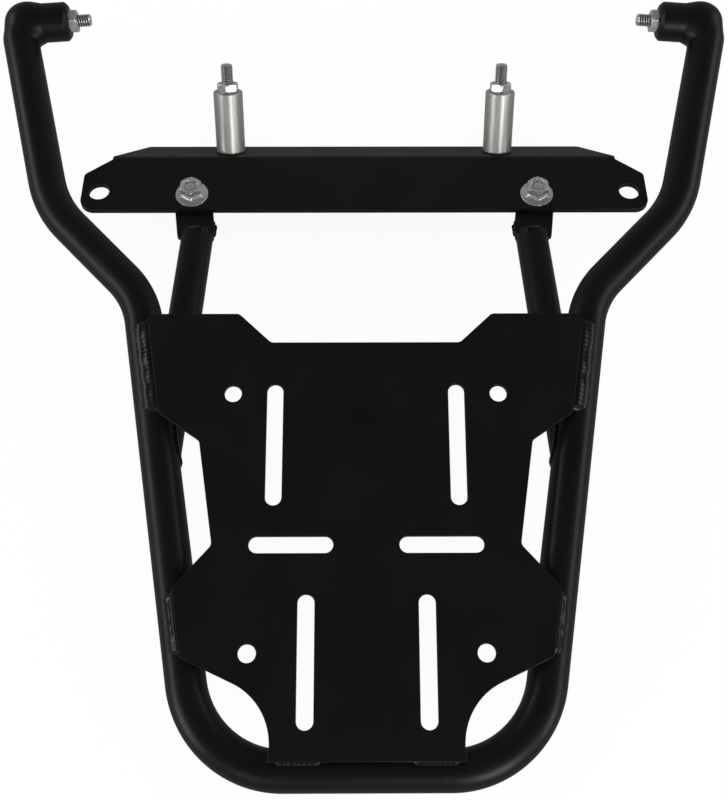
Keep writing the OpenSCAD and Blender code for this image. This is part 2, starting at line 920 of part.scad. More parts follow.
bracket_bolt(RIGHT);  // bracket_bolt_right
bracket_washer(LEFT);  // bracket_washer_left
bracket_washer(RIGHT);  // bracket_washer_right
bracket_nut(LEFT);  // bracket_nut_left
bracket_nut(RIGHT);  // bracket_nut_right
spacer(LEFT);  // spacer_left
spacer(RIGHT);  // spacer_right
spacer_bolt(LEFT);  // spacer_bolt_left
spacer_bolt(RIGHT);  // spacer_bolt_right
spacer_nut(LEFT);  // spacer_nut_left
spacer_nut(RIGHT);  // spacer_nut_right
side_stud(LEFT);  // side_stud_left
side_stud(RIGHT);  // side_stud_right
side_nut(LEFT);  // side_nut_left
side_nut(RIGHT);  // side_nut_right
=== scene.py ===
"""Motorcycle luggage rack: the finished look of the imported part. Laid out as an add-on, run as a script.

Lengths in the formulas are millimetres, as in the part's source, and add_piece turns them to metres.
X points right, Y forward and Z up, from the middle of the carrier plate's top face.
"""

import math

import bpy
import numpy as np
from bpy.props import FloatProperty, FloatVectorProperty, PointerProperty
from mathutils import Matrix, Vector
from mathutils.geometry import delaunay_2d_cdt


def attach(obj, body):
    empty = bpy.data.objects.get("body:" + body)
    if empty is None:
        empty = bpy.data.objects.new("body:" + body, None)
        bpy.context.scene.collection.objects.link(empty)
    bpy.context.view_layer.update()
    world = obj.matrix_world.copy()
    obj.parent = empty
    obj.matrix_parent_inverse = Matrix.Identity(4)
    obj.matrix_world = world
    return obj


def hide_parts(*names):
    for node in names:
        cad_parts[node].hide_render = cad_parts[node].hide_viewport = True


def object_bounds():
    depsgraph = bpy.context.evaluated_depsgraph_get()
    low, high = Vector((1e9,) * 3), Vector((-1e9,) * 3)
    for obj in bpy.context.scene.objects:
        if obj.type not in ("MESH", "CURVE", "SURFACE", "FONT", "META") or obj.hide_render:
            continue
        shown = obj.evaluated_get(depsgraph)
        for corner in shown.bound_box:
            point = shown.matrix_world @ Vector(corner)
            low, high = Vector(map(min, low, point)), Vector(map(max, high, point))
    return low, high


bl_info = {
    "name": "Motorcycle luggage rack",
    "version": (1, 0, 0),
    "blender": (4, 5, 0),
    "location": "3D View > Sidebar > Luggage rack",
    "description": "Builds the finished pieces, coats and stage of a tubular motorcycle luggage rack",
    "category": "Object",
}

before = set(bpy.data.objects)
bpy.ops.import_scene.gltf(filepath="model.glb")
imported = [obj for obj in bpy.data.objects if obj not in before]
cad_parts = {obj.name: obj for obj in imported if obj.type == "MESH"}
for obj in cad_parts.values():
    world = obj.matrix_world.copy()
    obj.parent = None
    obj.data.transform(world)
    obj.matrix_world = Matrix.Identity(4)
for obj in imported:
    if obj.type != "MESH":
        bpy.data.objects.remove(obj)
CAD_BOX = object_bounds()

MM = 0.001
BODY = "root"
SIDES = (("left", -1.0), ("right", 1.0))

# Carrier plate, as in the part's source
PLATE_T = 3.0
PLATE_FRONT_Y = 115.5
EAR_FRONT_Y = 133.0
PLATE_REAR_Y = 111.0
RECESS_HALF_W = 53.5
RECESS_RUN = 18.5
FRONT_EAR_INSET = 3.8
REAR_EAR_OVERLAP = 0.4
FRONT_EAR_BACK_Y = 74.0
REAR_EAR_FRONT_Y = 23.0
REAR_EAR_BACK_Y = 59.0
WAIST_FRONT = (92.0, 58.0)
WAIST_REAR = (83.0, 0.0)
TAIL_ANGLE = math.radians(25)
TAIL_HALF_W = 50.0
SCOOP_R = 34.0
CORNER_R = 4.0
HOLE_R = 4.8
HOLES = ((74.0, 85.0), (62.5, -57.0))
SLOT_W = 9.0
# Middle of each slot, its end-to-end length, and whether it runs forwards
SLOTS = (((50.5, 56.0), 69.0, True), ((32.0, -61.0), 69.0, True), ((40.5, 0.0), 45.5, False))

# Main tube
TUBE_R = 11.0
TUBE_WALL = 2.0
TUBE_Z = -PLATE_T - TUBE_R
LEG_HALF_W = 107.0
BAR_Y = 115.3
KINK_Y = 149.0
SHOULDER_HALF_W = 188.5
ARM_END_Y = 328.0
LEG_ANGLE = math.radians(9.3)
KINK_ANGLE = math.radians(44.3)
ARM_ANGLE = math.radians(13.7)
BEND_RADII = (52.6, 52.0, 64.0)

# Bosses at the arms' front ends
BOSS_R = 12.0
BOSS_L = 28.0
BOSS_LEAD = 8.0
BOSS_INSET = 4.6
BOSS_TOE = math.radians(4.5)
BOSS_THREAD_L = 20.0
BOSS_CHAMFER = 2.2
# Radius of the dome at the arm's end, and how far short of the arm's end the bare tube stops inside it
DOME_R = 12.9
DOME_LAP = 5.0
# Reach of the soft step between arm and dome
DOME_BLEND = 6.0
# Where the cores of arm and boss start and end: back from the arm's end, and out from the ball's centre
ARM_CORE = (14.0, 4.0)
BOSS_CORE = (5.0, 9.0)
# The melted surface lies this much outside tube and boss, so that it covers both
SKIN_LIFT = 0.02
SIDE_STUD_FREE_L = 8.4

# Struts, tabs and cross bracket
STRUT_R = 10.0
STRUT_WALL = 2.0
STRUT_L = 179.0
STRUT_GAP = 5.0
STRUT_ROOT_Y = 45.0
STRUT_END_HALF_W = 105.5
DROP = math.radians(13.5)
TAB_T = 4.0
TAB_W = 24.0
TAB_GRIP_L = 15.0
TAB_END_L = 11.5
TAB_CORNER_R = 8.0
TAB_CHAMFER = 4.0
# The strut's upper half ends this much earlier, so that the tab shows
TAB_SHOW_L = 13.0
SHEET_T = 4.0
BRACKET_W = 365.0
FACE_DEPTH = 45.0
FOLD = math.radians(31)
FOLD_R = 3.0
FLANGE_DEPTH = 25.5
FLANGE_FRONT_W = 290.0
FLANGE_ROOT_W = 331.0
BRACKET_CORNER_R = 9.0
END_CUT = 15.0
END_HOLE_R = 6.5
END_HOLE_HALF = 171.25
END_HOLE_INSET = 15.3
BOLT_HALF_W = 111.0
BOLT_INSET = 12.4

# Spacers and fasteners
SPACER_R = 9.5
SPACER_L = 40.0
SPACER_HALF_W = 89.0
SPACER_INSET = 13.4
SPACER_FREE_L = 12.0
STUD_R = 3.95
ENGAGED_R = 3.6
SHANK_HOLE_R = STUD_R + 0.4
HEX_AF = 13.0
THIN_NUT_H = 5.0
NUT_H = 6.5
BOLT_FLANGE_R = 10.5
BOLT_HEAD_H = 9.0
SPACER_HEAD_H = 5.3
WASHER_R = 8.0
WASHER_T = 1.6
BOLT_END_L = 3.0
TIP_CHAMFER = 1.0

# Welds under the plate's rear edge
PLATE_BEAD_R = 2.8
REAR_BEAD_L = 24.0
# How far the ears' welds reach past the tube's centre line
FRONT_BEAD_REACH = 5.0
REAR_BEAD_REACH = 5.5
# Reach of the fillet weld round a boss's root
BOSS_FILLET = 6.0
# A rippled bead's face: share of a flat face in it, depth of its ripples, how far their middles run ahead,
# and how unevenly they follow each other
FLAT_SHARE = 0.42
RIPPLE_DEPTH = 0.17
RIPPLE_BOW = 0.55
RIPPLE_SWAY = 0.16

# Share of the pale background that glossy surfaces mirror
MIRRORED_SHARE = 0.18
# Strength of the surround's light, the share of glow in the floor's white, and the gap in metres between
# floor and rack
SURROUND_LIGHT = 0.85
FLOOR_GLOW = 0.93
FLOOR_GAP = 0.0005
# Width of the photograph and the fitted camera's focal length, both in its pixels
PHOTO_W = 728.0
FOCAL_LENGTH = 1127.0

ARC_STEP = math.radians(5)
ROUND_STEPS = 96


# Sizes and colours that a user may change

def length(name, description, default, low, high):
    """A length property whose values are metres."""
    return FloatProperty(
        name=name, description=description, default=default * MM, min=low * MM, max=high * MM,
        unit="LENGTH", precision=5,
    )


def colour(name, description, default):
    """A colour property whose default is an sRGB hex value."""
    return FloatVectorProperty(name=name, description=description, subtype="COLOR", size=3, min=0, max=1,
                               default=linear(default))


def linear(hex_value):
    """The linear red, green and blue of an sRGB hex value: each channel's lower part is divided by 12.92,
    and the rest is raised to the power 2.4."""
    c = np.array([int(hex_value[i:i + 2], 16) for i in (1, 3, 5)]) / 255
    return tuple(np.where(c <= 0.04045, c / 12.92, ((c + 0.055) / 1.055) ** 2.4).tolist())


class RackSizes(bpy.types.PropertyGroup):
    """Sizes of the fine shapes that the part's solids leave plain."""
    plate_edge: length("Plate edge", "Radius that rounds the carrier plate's edges", 0.55, 0.1, 1.2)
    sheet_edge: length("Sheet edge", "Radius that rounds the edges of bracket and tabs", 0.6, 0.1, 1.5)
    thread_pitch: length("Thread pitch", "Distance between turns, over the real 1.25 to show", 1.5, 0.8, 2)
    thread_depth: length("Thread depth", "Depth of the studs' thread", 0.62, 0.2, 0.7)
    bead_pitch: length("Bead pitch", "Distance between two ripples of a weld", 2.7, 1.5, 5)
    bead_face: length("Bead face", "Width of the welds where two tubes meet", 4.2, 2, 7)
    hardware_edge: length("Hardware edge", "Radius that rounds nuts, heads and spacers", 0.28, 0.05, 0.6)


class RackColours(bpy.types.PropertyGroup):
    """Colours of coat, hardware and stage."""
    coat: colour("Coat", "Black powder coat", "#090909")
    coat_light: colour("Coat, light patches", "Lighter patches of the powder coat", "#0e0e0f")
    zinc: colour("Zinc", "Zinc-plated nuts, bolts and washers", "#e6e6e4")
    steel: colour("Steel", "Turned steel of the spacers", "#e6e6e4")
    floor: colour("Floor", "Floor of the stage", "#f4f4f3")


# Geometry that every piece shares

def unit(v):
    """Vectors of length 1: each divided by its own length."""
    return v / np.linalg.norm(v, axis=-1, keepdims=True)


def heading(angle):
    """Level direction at an angle from +Y towards +X."""
    return np.array([math.sin(angle), math.cos(angle), 0.0])


def mirrored(v, side):
    """A vector with its x times the side, which is -1 or 1."""
    return np.asarray(v, float) * (side, 1.0, 1.0)


def leg_x(y):
    """Where a leg's centre line lies at y: half width at the middle + y * tan of the leg's angle."""
    return LEG_HALF_W + y * math.tan(LEG_ANGLE)


def on_frame(points, origin, axes):
    """Local points placed in the row frame: origin + x * first axis + y * second + z * third."""
    return np.asarray(origin) + np.asarray(points) @ np.asarray(axes)


def upright_axes(z_axis, x_axis):
    """Right-handed axes whose Z is given, and whose X is as near as possible to x_axis."""
    z = unit(np.asarray(z_axis, float))
    x = unit(np.asarray(x_axis, float) - z * np.dot(z, x_axis))
    return np.array([x, np.cross(z, x), z])


KINK = np.array([leg_x(KINK_Y), KINK_Y])
SHOULDER = np.array([SHOULDER_HALF_W, KINK_Y + (SHOULDER_HALF_W - KINK[0]) / math.tan(KINK_ANGLE)])
ARM_END = np.array([SHOULDER_HALF_W + (ARM_END_Y - SHOULDER[1]) * math.tan(ARM_ANGLE), ARM_END_Y])
BALL = np.array([
    ARM_END[0] + BOSS_LEAD * math.sin(ARM_ANGLE) - BOSS_INSET * math.cos(ARM_ANGLE),
    ARM_END[1] + BOSS_LEAD * math.cos(ARM_ANGLE) + BOSS_INSET * math.sin(ARM_ANGLE),
    TUBE_Z,
])
BOSS_AXIS = np.array([-math.cos(BOSS_TOE), math.sin(BOSS_TOE), 0.0])

# Plane of struts and bracket: origin, then its X, Y (down the slope) and Z (normal)
SLOPE_ORIGIN = np.array([0.0, STRUT_ROOT_Y, TUBE_Z])
SLOPE = np.array([[1, 0, 0], [0, math.cos(DROP), -math.sin(DROP)], [0, math.sin(DROP), math.cos(DROP)]])
STRUT_ROOT_X = leg_x(STRUT_ROOT_Y)
STRUT_TOE = math.asin((STRUT_ROOT_X - STRUT_END_HALF_W) / STRUT_L)
STRUT_RUN = STRUT_L * math.cos(STRUT_TOE)
BRACKET_REAR_L = STRUT_L + STRUT_GAP
SHEET_Z = TAB_T / 2
BOLT_U = BRACKET_REAR_L + BOLT_INSET
FOLD_SETBACK = (FOLD_R + SHEET_T) * math.tan(FOLD / 2)
FOLD_U = BRACKET_REAR_L + FACE_DEPTH - FOLD_SETBACK
FLANGE_L = FLANGE_DEPTH - FOLD_SETBACK
FOLD_L = FOLD * (FOLD_R + SHEET_T / 2)
SPACER_U = FOLD_U + FOLD_L + SPACER_INSET - FOLD_SETBACK
STRUT_ROOT = on_frame([STRUT_ROOT_X, 0, 0], SLOPE_ORIGIN, SLOPE)
STRUT_AXIS = np.array([-math.sin(STRUT_TOE), math.cos(STRUT_TOE), 0.0]) @ SLOPE


def on_sheet(x, u, n):
    """The bracket's sheet, folded: x across it, u along it from the struts' roots, n up from its lower
    face. Up to FOLD_U it is flat. Then it turns about the fold's axis by (u - FOLD_U) / FOLD_L of the fold's
    angle, and past that it runs on straight."""
    angle = np.clip((u - FOLD_U) / FOLD_L, 0, 1) * FOLD
    past = np.maximum(u - FOLD_U - FOLD_L, 0)
    before = np.minimum(u - FOLD_U, 0)
    y = FOLD_U + (FOLD_R + n) * np.sin(angle) + past * np.cos(angle) + before
    z = SHEET_Z - FOLD_R + (FOLD_R + n) * np.cos(angle) - past * np.sin(angle)
    return on_frame(np.stack([x + 0 * y, y, z], -1), SLOPE_ORIGIN, SLOPE)


def rounded(points, radii):
    """Polygon corners turned to arcs: an arc of radius r touches both sides at r / tan(half the corner)."""
    points = np.asarray(points, float)
    parts = []
    for i, r in enumerate(radii):
        p, a, b = points[i], points[i - 1], points[(i + 1) % len(points)]
        if r == 0:
            parts.append(p[None])
            continue
        ua, ub = unit(a - p), unit(b - p)
        half = math.acos(np.clip(ua @ ub, -1, 1)) / 2
        centre = p + unit(ua + ub) * r / math.sin(half)
        first, last = p + ua * r / math.tan(half) - centre, p + ub * r / math.tan(half) - centre
        start = math.atan2(first[1], first[0])
        sweep = (math.atan2(last[1], last[0]) - start + math.pi) % (2 * math.pi) - math.pi
        angles = start + sweep * np.linspace(0, 1, max(int(abs(sweep) / ARC_STEP), 2) + 1)
        parts.append(centre + r * np.stack([np.cos(angles), np.sin(angles)], -1))
    return np.concatenate(parts)


def circle_loop(centre, r):
    """Hole: a circle walked clockwise."""
    angles = -np.linspace(0, 2 * math.pi, ROUND_STEPS // 2, endpoint=False)
    return np.asarray(centre) + r * np.stack([np.cos(angles), np.sin(angles)], -1)


def slot_loop(centre, slot_l, forwards):
    """Slot: two half circles joined by straight sides, walked clockwise."""
    run = (slot_l - SLOT_W) / 2
    angles = -np.linspace(0, math.pi, ROUND_STEPS // 4)
    half = SLOT_W / 2 * np.stack([np.sin(-angles), np.cos(angles)], -1) + (run, 0)
    loop = np.concatenate([half, -half])
    return np.asarray(centre) + (np.stack([-loop[:, 1], loop[:, 0]], -1) if forwards else loop)


def grid_faces(rows, columns, close_rows=False):
    """Quads of a grid whose columns close on themselves. Point (row, column) is row * columns + column."""
    row = np.arange(rows if close_rows else rows - 1)[:, None]
    column = np.arange(columns)[None, :]
    after_row, after_column = (row + 1) % rows, (column + 1) % columns
    return np.stack([
        row * columns + column, row * columns + after_column,
        after_row * columns + after_column, after_row * columns + column,
    ], -1).reshape(-1, 4)


def closed_shell(rings, poles=True):
    """A closed surface through rings of points. With poles, the middle of the first and of the last ring
    closes it. Otherwise the last ring joins the first."""
    rows, columns = rings.shape[:2]
    points = rings.reshape(-1, 3)
    faces = [grid_faces(rows, columns, not poles)]
    if poles:
        points = np.concatenate([points, rings[0].mean(0)[None], rings[-1].mean(0)[None]])
        column = np.arange(columns)
        after = (column + 1) % columns
        last = (rows - 1) * columns
        pole = np.full(columns, rows * columns)
        faces.append(np.stack([pole, after, column], -1))
        faces.append(np.stack([pole + 1, last + column, last + after], -1))
    return outward(points, faces)


def outward(points, faces):
    """Turns all faces over where the shell's signed volume is negative. It is the sum of a . (b x c) over
    triangles a, b and c."""
    volume = 0.0
    for group in faces:
        for k in range(1, group.shape[1] - 1):
            a, b, c = points[group[:, 0]], points[group[:, k]], points[group[:, k + 1]]
            volume += np.einsum("ij,ij->", a, np.cross(b, c))
    return points, faces if volume > 0 else [group[:, ::-1] for group in faces]


def soften(outline, radius, closed, steps=4):
    """Each inner corner of a profile becomes a short curve, (1-t)^2 A + 2t(1-t) P + t^2 B, between points A
    and B at most radius from the corner P. The profile is (corner, angle round the axis, r and z)."""
    count = len(outline)
    t = np.linspace(0, 1, steps)[:, None, None]
    parts = [] if closed else [outline[:1]]
    for i in range(0 if closed else 1, count if closed else count - 1):
        p, a, b = outline[i], outline[i - 1] - outline[i], outline[(i + 1) % count] - outline[i]
        la = np.maximum(np.linalg.norm(a, axis=-1, keepdims=True), 1e-6)
        lb = np.maximum(np.linalg.norm(b, axis=-1, keepdims=True), 1e-6)
        d = np.minimum(radius, 0.4 * np.minimum(la, lb))
        # A ring on either side of the curve keeps the flat's shading flat
        parts.append((p + a / la * 1.2 * d)[None])
        parts.append((1 - t) ** 2 * (p + a / la * d) + 2 * t * (1 - t) * p + t ** 2 * (p + b / lb * d))
        parts.append((p + b / lb * 1.2 * d)[None])
    if not closed:
        parts.append(outline[-1:])
    return np.concatenate(parts)


ROUND = np.linspace(0, 2 * math.pi, ROUND_STEPS, endpoint=False)
# Hexagon with slightly rounded corners: half the flats over the 60th-power mean of the six flats' cosines
HEX_COSINES = np.clip(np.cos(ROUND[:, None] - np.arange(6) * math.pi / 3), 0, None)
HEX = HEX_AF / 2 / (HEX_COSINES ** 60).sum(1) ** (1 / 60)
HEX_RIM = HEX_AF / 2 * 0.97
HEX_SLOPE = math.tan(math.radians(30))
# How far a rim falls towards the hexagon's corners
HEX_FALL = (HEX - HEX_RIM) * HEX_SLOPE


def turned(profile, radius, closed=False):
    """A shape turned about Z. Each profile corner is (r, z), and each is a number or one value an angle."""
    outline = np.stack([
        np.stack([np.broadcast_to(r, ROUND.shape), np.broadcast_to(z, ROUND.shape)], -1) for r, z in profile
    ]).astype(float)
    outline = soften(outline, radius, closed)
    r, z = outline[..., 0], outline[..., 1]
    return closed_shell(np.stack([r * np.cos(ROUND), r * np.sin(ROUND), z], -1), not closed)


def hex_nut(h, radius):
    """Nut: a hexagon whose rims fall by (r - rim) * tan 30, with a chamfered bore."""
    return turned([
        (ENGAGED_R, 0.9), (ENGAGED_R + 0.7, 0), (HEX_RIM, 0), (HEX, HEX_FALL),
        (HEX, h - HEX_FALL), (HEX_RIM, h), (ENGAGED_R + 0.7, h), (ENGAGED_R, h - 0.9),
    ], radius, closed=True)


def threaded_bar(grip, engaged, free):
    """Bar along Z: plain shank, engaged thread, then the free helical thread. There the radius is the
    outer radius less depth times a clipped triangle wave of z / pitch - angle / 360, under the tip's cone.
    Returns the shell and how deep each of its points lies in the thread, from 0 to 1, which paints shade into
    the grooves."""
    sizes = bpy.context.scene.rack_sizes
    pitch, depth = sizes.thread_pitch / MM, sizes.thread_depth / MM
    start = grip + engaged
    total = start + free
    plain = [(0.05, 0.0)]
    if grip:
        plain += [(STUD_R, 0.0), (STUD_R, grip)]
    plain += [(ENGAGED_R - depth / 2, grip), (ENGAGED_R - depth / 2, start - 0.8)]
    rings = [np.broadcast_to(p, (ROUND_STEPS, 2)) for p in plain]
    z = np.arange(start - 0.7, total, pitch / 12)[:, None] + 0 * ROUND
    wave = np.abs(2 * ((z / pitch - ROUND / (2 * math.pi)) % 1) - 1)
    r = STUD_R - depth * np.clip((wave - 0.14) / 0.72, 0, 1)
    r = np.minimum(r, STUD_R - TIP_CHAMFER + (total - z))
    rings += list(np.stack([r, z], -1))
    rings += [np.broadcast_to((STUD_R - TIP_CHAMFER - 0.25, total), (ROUND_STEPS, 2)),
              np.broadcast_to((0.05, total), (ROUND_STEPS, 2))]
    outline = np.stack(rings)
    r, z = outline[..., 0], outline[..., 1]
    # Depth in the free thread, which the metal uses as painted shade
    groove = np.where(z > start, np.clip((STUD_R - r) / depth, 0, 1), 0) * (z < total - TIP_CHAMFER)
    shell = closed_shell(np.stack([r * np.cos(ROUND), r * np.sin(ROUND), z], -1))
    return shell, np.concatenate([groove.ravel(), [0, 0]])


def placed(shell, origin, axes):
    """A shell moved from its own axes to an origin and axes in the row frame."""
    points, faces = shell
    return outward(on_frame(points, origin, axes), faces)


def add_piece(name, shells, material, nodes, normals=None, groove=None):
    """Makes one mesh object of closed shells, in metres and at the origin, and lets it stand for its nodes.
    Groove shade is how deep each of the first shell's points lies in its thread, from 0 to 1; the metal
    paints shade into the grooves by it."""
    starts = np.cumsum([0] + [len(points) for points, _ in shells])
    groups = [group + start for (_, faces), start in zip(shells, starts) for group in faces]
    mesh = bpy.data.meshes.new(name)
    points = np.concatenate([points for points, _ in shells]) * MM
    mesh.vertices.add(len(points))
    mesh.vertices.foreach_set("co", points.astype(np.float32).ravel())
    corners = np.concatenate([group.ravel() for group in groups])
    sizes = np.concatenate([np.full(len(group), group.shape[1]) for group in groups])
    mesh.loops.add(len(corners))
    mesh.loops.foreach_set("vertex_index", corners.astype(np.int32))
    mesh.polygons.add(len(sizes))
    mesh.polygons.foreach_set("loop_start", (np.cumsum(sizes) - sizes).astype(np.int32))
    mesh.polygons.foreach_set("use_smooth", np.ones(len(sizes), bool))
    mesh.update(calc_edges=True)
    if mesh.validate():
        raise RuntimeError(name + " has faces that Blender had to mend")
    if normals is not None:
        mesh.normals_split_custom_set_from_vertices(normals.tolist())
    # The thread's depth goes into an attribute that the metal uses for painted shade
    if groove is not None:
        values = np.zeros(len(points), np.float32)
        values[:len(groove)] = groove
        mesh.attributes.new("groove", "FLOAT", "POINT").data.foreach_set("value", values)
    mesh.materials.append(material)
    piece = bpy.data.objects.new(name, mesh)
    bpy.context.scene.collection.objects.link(piece)
    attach(piece, BODY)
    if nodes:
        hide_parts(*nodes)
    return piece


def sheet_shell(loops, inner, thickness, edge, place):
    """A sheet with rounded edges. Its outline and holes are loops in its own plane, and place(x, y, n) puts
    it in the row frame, n up from its lower face. At angle b round an edge the rim lies edge * (1 - sin b)
    inside the outline and edge * (1 - cos b) below the face. Returns the shell and its exact normals."""
    counts = [len(loop) for loop in loops]
    starts = np.cumsum([0] + counts)
    flat = np.concatenate(loops)
    after = np.concatenate([np.roll(np.arange(n), -1) + s for n, s in zip(counts, starts)])
    before = np.concatenate([np.roll(np.arange(n), 1) + s for n, s in zip(counts, starts)])
    ahead, behind = unit(flat[after] - flat), unit(flat - flat[before])
    n1 = np.stack([ahead[:, 1], -ahead[:, 0]], -1)
    n2 = np.stack([behind[:, 1], -behind[:, 0]], -1)
    mitre = (n1 + n2) / (1 + (n1 * n2).sum(1, keepdims=True))
    b = np.linspace(0, math.pi / 2, 5)
    inset = edge * (1 - np.sin(np.concatenate([b, b[::-1]])))
    height = np.concatenate([thickness - edge * (1 - np.cos(b)), edge * (1 - np.cos(b[::-1]))])
    up = np.concatenate([np.cos(b), -np.cos(b[::-1])])
    out = np.sin(np.concatenate([b, b[::-1]]))
    ring = flat[None] - mitre[None] * inset[:, None, None]
    n = height[:, None] + 0 * ring[..., 0]
    small = 0.01
    points = place(ring[..., 0], ring[..., 1], n)
    rise = unit(place(ring[..., 0], ring[..., 1], n + small) - points)
    side = unit(place(ring[..., 0] + mitre[:, 0] * small, ring[..., 1] + mitre[:, 1] * small, n) - points)
    normals = rise * up[:, None, None] + side * out[:, None, None]
    rows, columns = ring.shape[:2]
    row, column = np.arange(rows - 1)[:, None] * columns, np.arange(columns)
    rim = np.stack([row + column, row + columns + column, row + columns + after, row + after], -1)

    seeds = np.concatenate([ring[0], inner])
    links = np.stack([column, after], -1)
    found = delaunay_2d_cdt([Vector(p) for p in seeds.tolist()], links.tolist(), [], 0, 1e-7)
    source = np.array([origin[0] for origin in found[3]])
    triangles = source[np.array(found[2])]
    middle = seeds[triangles].mean(1)
    a, c = ring[0], ring[0][after]
    crosses = (a[:, 1] > middle[:, 1:]) != (c[:, 1] > middle[:, 1:])
    run = np.where(crosses, c[:, 1] - a[:, 1], 1)
    at = a[:, 0] + (middle[:, 1:] - a[:, 1]) / run * (c[:, 0] - a[:, 0])
    triangles = triangles[(crosses & (at > middle[:, :1])).sum(1) % 2 == 1]
    a, b, c = (seeds[triangles[:, k]] for k in range(3))
    turn = (b[:, 0] - a[:, 0]) * (c[:, 1] - a[:, 1]) - (b[:, 1] - a[:, 1]) * (c[:, 0] - a[:, 0])
    triangles = np.where(turn[:, None] > 0, triangles, triangles[:, ::-1])

    top_inner = place(inner[:, 0], inner[:, 1], np.full(len(inner), thickness))
    low_inner = place(inner[:, 0], inner[:, 1], np.zeros(len(inner)))
    rise_inner = unit(top_inner - low_inner)
    past_rim = triangles - columns + rows * columns
    top = np.where(triangles < columns, triangles, past_rim)
    low = np.where(triangles < columns, triangles + (rows - 1) * columns, past_rim + len(inner))
    shell = outward(
        np.concatenate([points.reshape(-1, 3), top_inner, low_inner]),
        [rim.reshape(-1, 4), top, low[:, ::-1]],
    )
    return shell, np.concatenate([normals.reshape(-1, 3), rise_inner, -rise_inner])


def bead_shell(path, a, b, out, radius, closed, seed):
    """A rippled weld bead carried along a path in the corner between two surfaces. Directions a and b run
    from the corner along them, and out halves the open angle. At angle t either side of out the bead's face
    lies at radius * (flat share * cos(half) / cos(t) + round share), and its ripples are the absolute sine
    of length / pitch + bow * (t / half)^2. A point behind the corner closes the section."""
    sizes = bpy.context.scene.rack_sizes
    pitch = sizes.bead_pitch / MM
    step = np.linalg.norm(np.diff(path, axis=0), axis=1)
    run = np.concatenate([[0], np.cumsum(step)])
    random = np.random.default_rng(seed)
    whole = run[-1] + (np.linalg.norm(path[0] - path[-1]) if closed else 0)
    turns = max(round(whole / pitch), 1)
    knots = random.uniform(-RIPPLE_SWAY, RIPPLE_SWAY, turns + 1)
    knots[-1] = knots[0]
    phase = run / whole * turns
    phase = phase + np.interp(phase, np.arange(turns + 1), knots)
    half = np.arccos(np.clip((a * out).sum(1), -1, 1))[:, None]
    across = unit(b - a)
    t = np.linspace(-1, 1, 11)[None] * (half + 0.12)
    face = FLAT_SHARE * np.cos(half) / np.cos(np.clip(t, -1.45, 1.45)) + 1 - FLAT_SHARE
    bow = RIPPLE_BOW * (t / half) ** 2
    ripple = 1 - RIPPLE_DEPTH * (1 - np.abs(np.sin(math.pi * (phase[:, None] - bow))) ** 0.8)
    reach = radius[:, None] * np.clip(face, 0.05, 1.2) * ripple
    ring = path[:, None] + reach[..., None] * (
        np.cos(t)[..., None] * out[:, None] + np.sin(t)[..., None] * across[:, None]
    )
    back = path - 0.3 * radius[:, None] * out
    rings = np.concatenate([ring, back[:, None]], 1)
    return closed_shell(rings, not closed)


def straight_bead(start, along, bead_l, a, b, radius, seed):
    """Bead along a straight edge. Its radius falls to nothing at both ends as the root of the distance."""
    count = int(bead_l / 0.22)
    s = np.linspace(0.02, bead_l - 0.02, count)
    taper = np.sqrt(np.clip(np.minimum(s, bead_l - s) / 1.8, 0, 1))
    path = np.asarray(start) + s[:, None] * np.asarray(along)
    a, b = (np.broadcast_to(unit(np.asarray(v, float)), path.shape) for v in (a, b))
    return bead_shell(path, a, b, unit(a + b), radius * taper, False, seed)


def mirrored_shell(shell, side):
    """A shell with each point's x times the side, and its faces turned outward again."""
    points, faces = shell
    return outward(points * (side, 1, 1), faces)


# Materials

def add_node(tree, kind, settings=None, links=None):
    """Adds one node. Settings are its attributes or its inputs' values, and links its inputs' sources."""
    node = tree.nodes.new(kind)
    for key, value in (settings or {}).items():
        if hasattr(node, str(key)):
            setattr(node, key, value)
        else:
            node.inputs[key].default_value = value
    for key, source in (links or {}).items():
        tree.links.new(source, node.inputs[key])
    return node


def new_material(name):
    """An empty material and its node tree."""
    material = bpy.data.materials.new(name)
    material.use_nodes = True
    material.node_tree.nodes.clear()
    return material, material.node_tree


def finish_surface(tree, shader):
    """Ends a material's tree: the shader's output goes to the surface."""
    add_node(tree, "ShaderNodeOutputMaterial", links={"Surface": shader.outputs[0]})


def rgba(values):
    """A colour with full opacity."""
    return (*values, 1.0)


def powder_coat(name, roughness, grain, patch_seed):
    """Satin black powder coat, sprayed and baked on steel: a low gloss skin with a fine orange peel of about
    1.3 mm, and faint cloudy patches some 30 mm wide."""
    colours = bpy.context.scene.rack_colours
    material, tree = new_material(name)
    place = add_node(tree, "ShaderNodeTexCoord")
    patches = add_node(tree, "ShaderNodeTexNoise", {
        "noise_dimensions": "4D", "W": patch_seed, "Scale": 1 / 0.030, "Detail": 3.0, "Roughness": 0.55,
    }, {"Vector": place.outputs["Object"]})
    tint = add_node(tree, "ShaderNodeMix", {"data_type": "RGBA"}, {"Factor": patches.outputs["Fac"]})
    tint.inputs[6].default_value = rgba(colours.coat)
    tint.inputs[7].default_value = rgba(colours.coat_light)
    gloss = add_node(tree, "ShaderNodeMapRange", {
        "From Min": 0.3, "From Max": 0.7, "To Min": roughness - 0.03, "To Max": roughness + 0.04,
    }, {"Value": patches.outputs["Fac"]})
    peel = add_node(tree, "ShaderNodeTexNoise", {"Scale": 1 / 0.0013, "Detail": 1.5, "Roughness": 0.5},
                    {"Vector": place.outputs["Object"]})
    relief = add_node(tree, "ShaderNodeBump", {"Strength": grain, "Distance": 0.00006},
                      {"Height": peel.outputs["Fac"]})
    shader = add_node(tree, "ShaderNodeBsdfPrincipled", {
        "IOR": 1.5, "Metallic": 0.0, "Specular IOR Level": 0.3,
    }, {"Base Color": tint.outputs[2], "Roughness": gloss.outputs[0], "Normal": relief.outputs[0]})
    finish_surface(tree, shader)
    return material


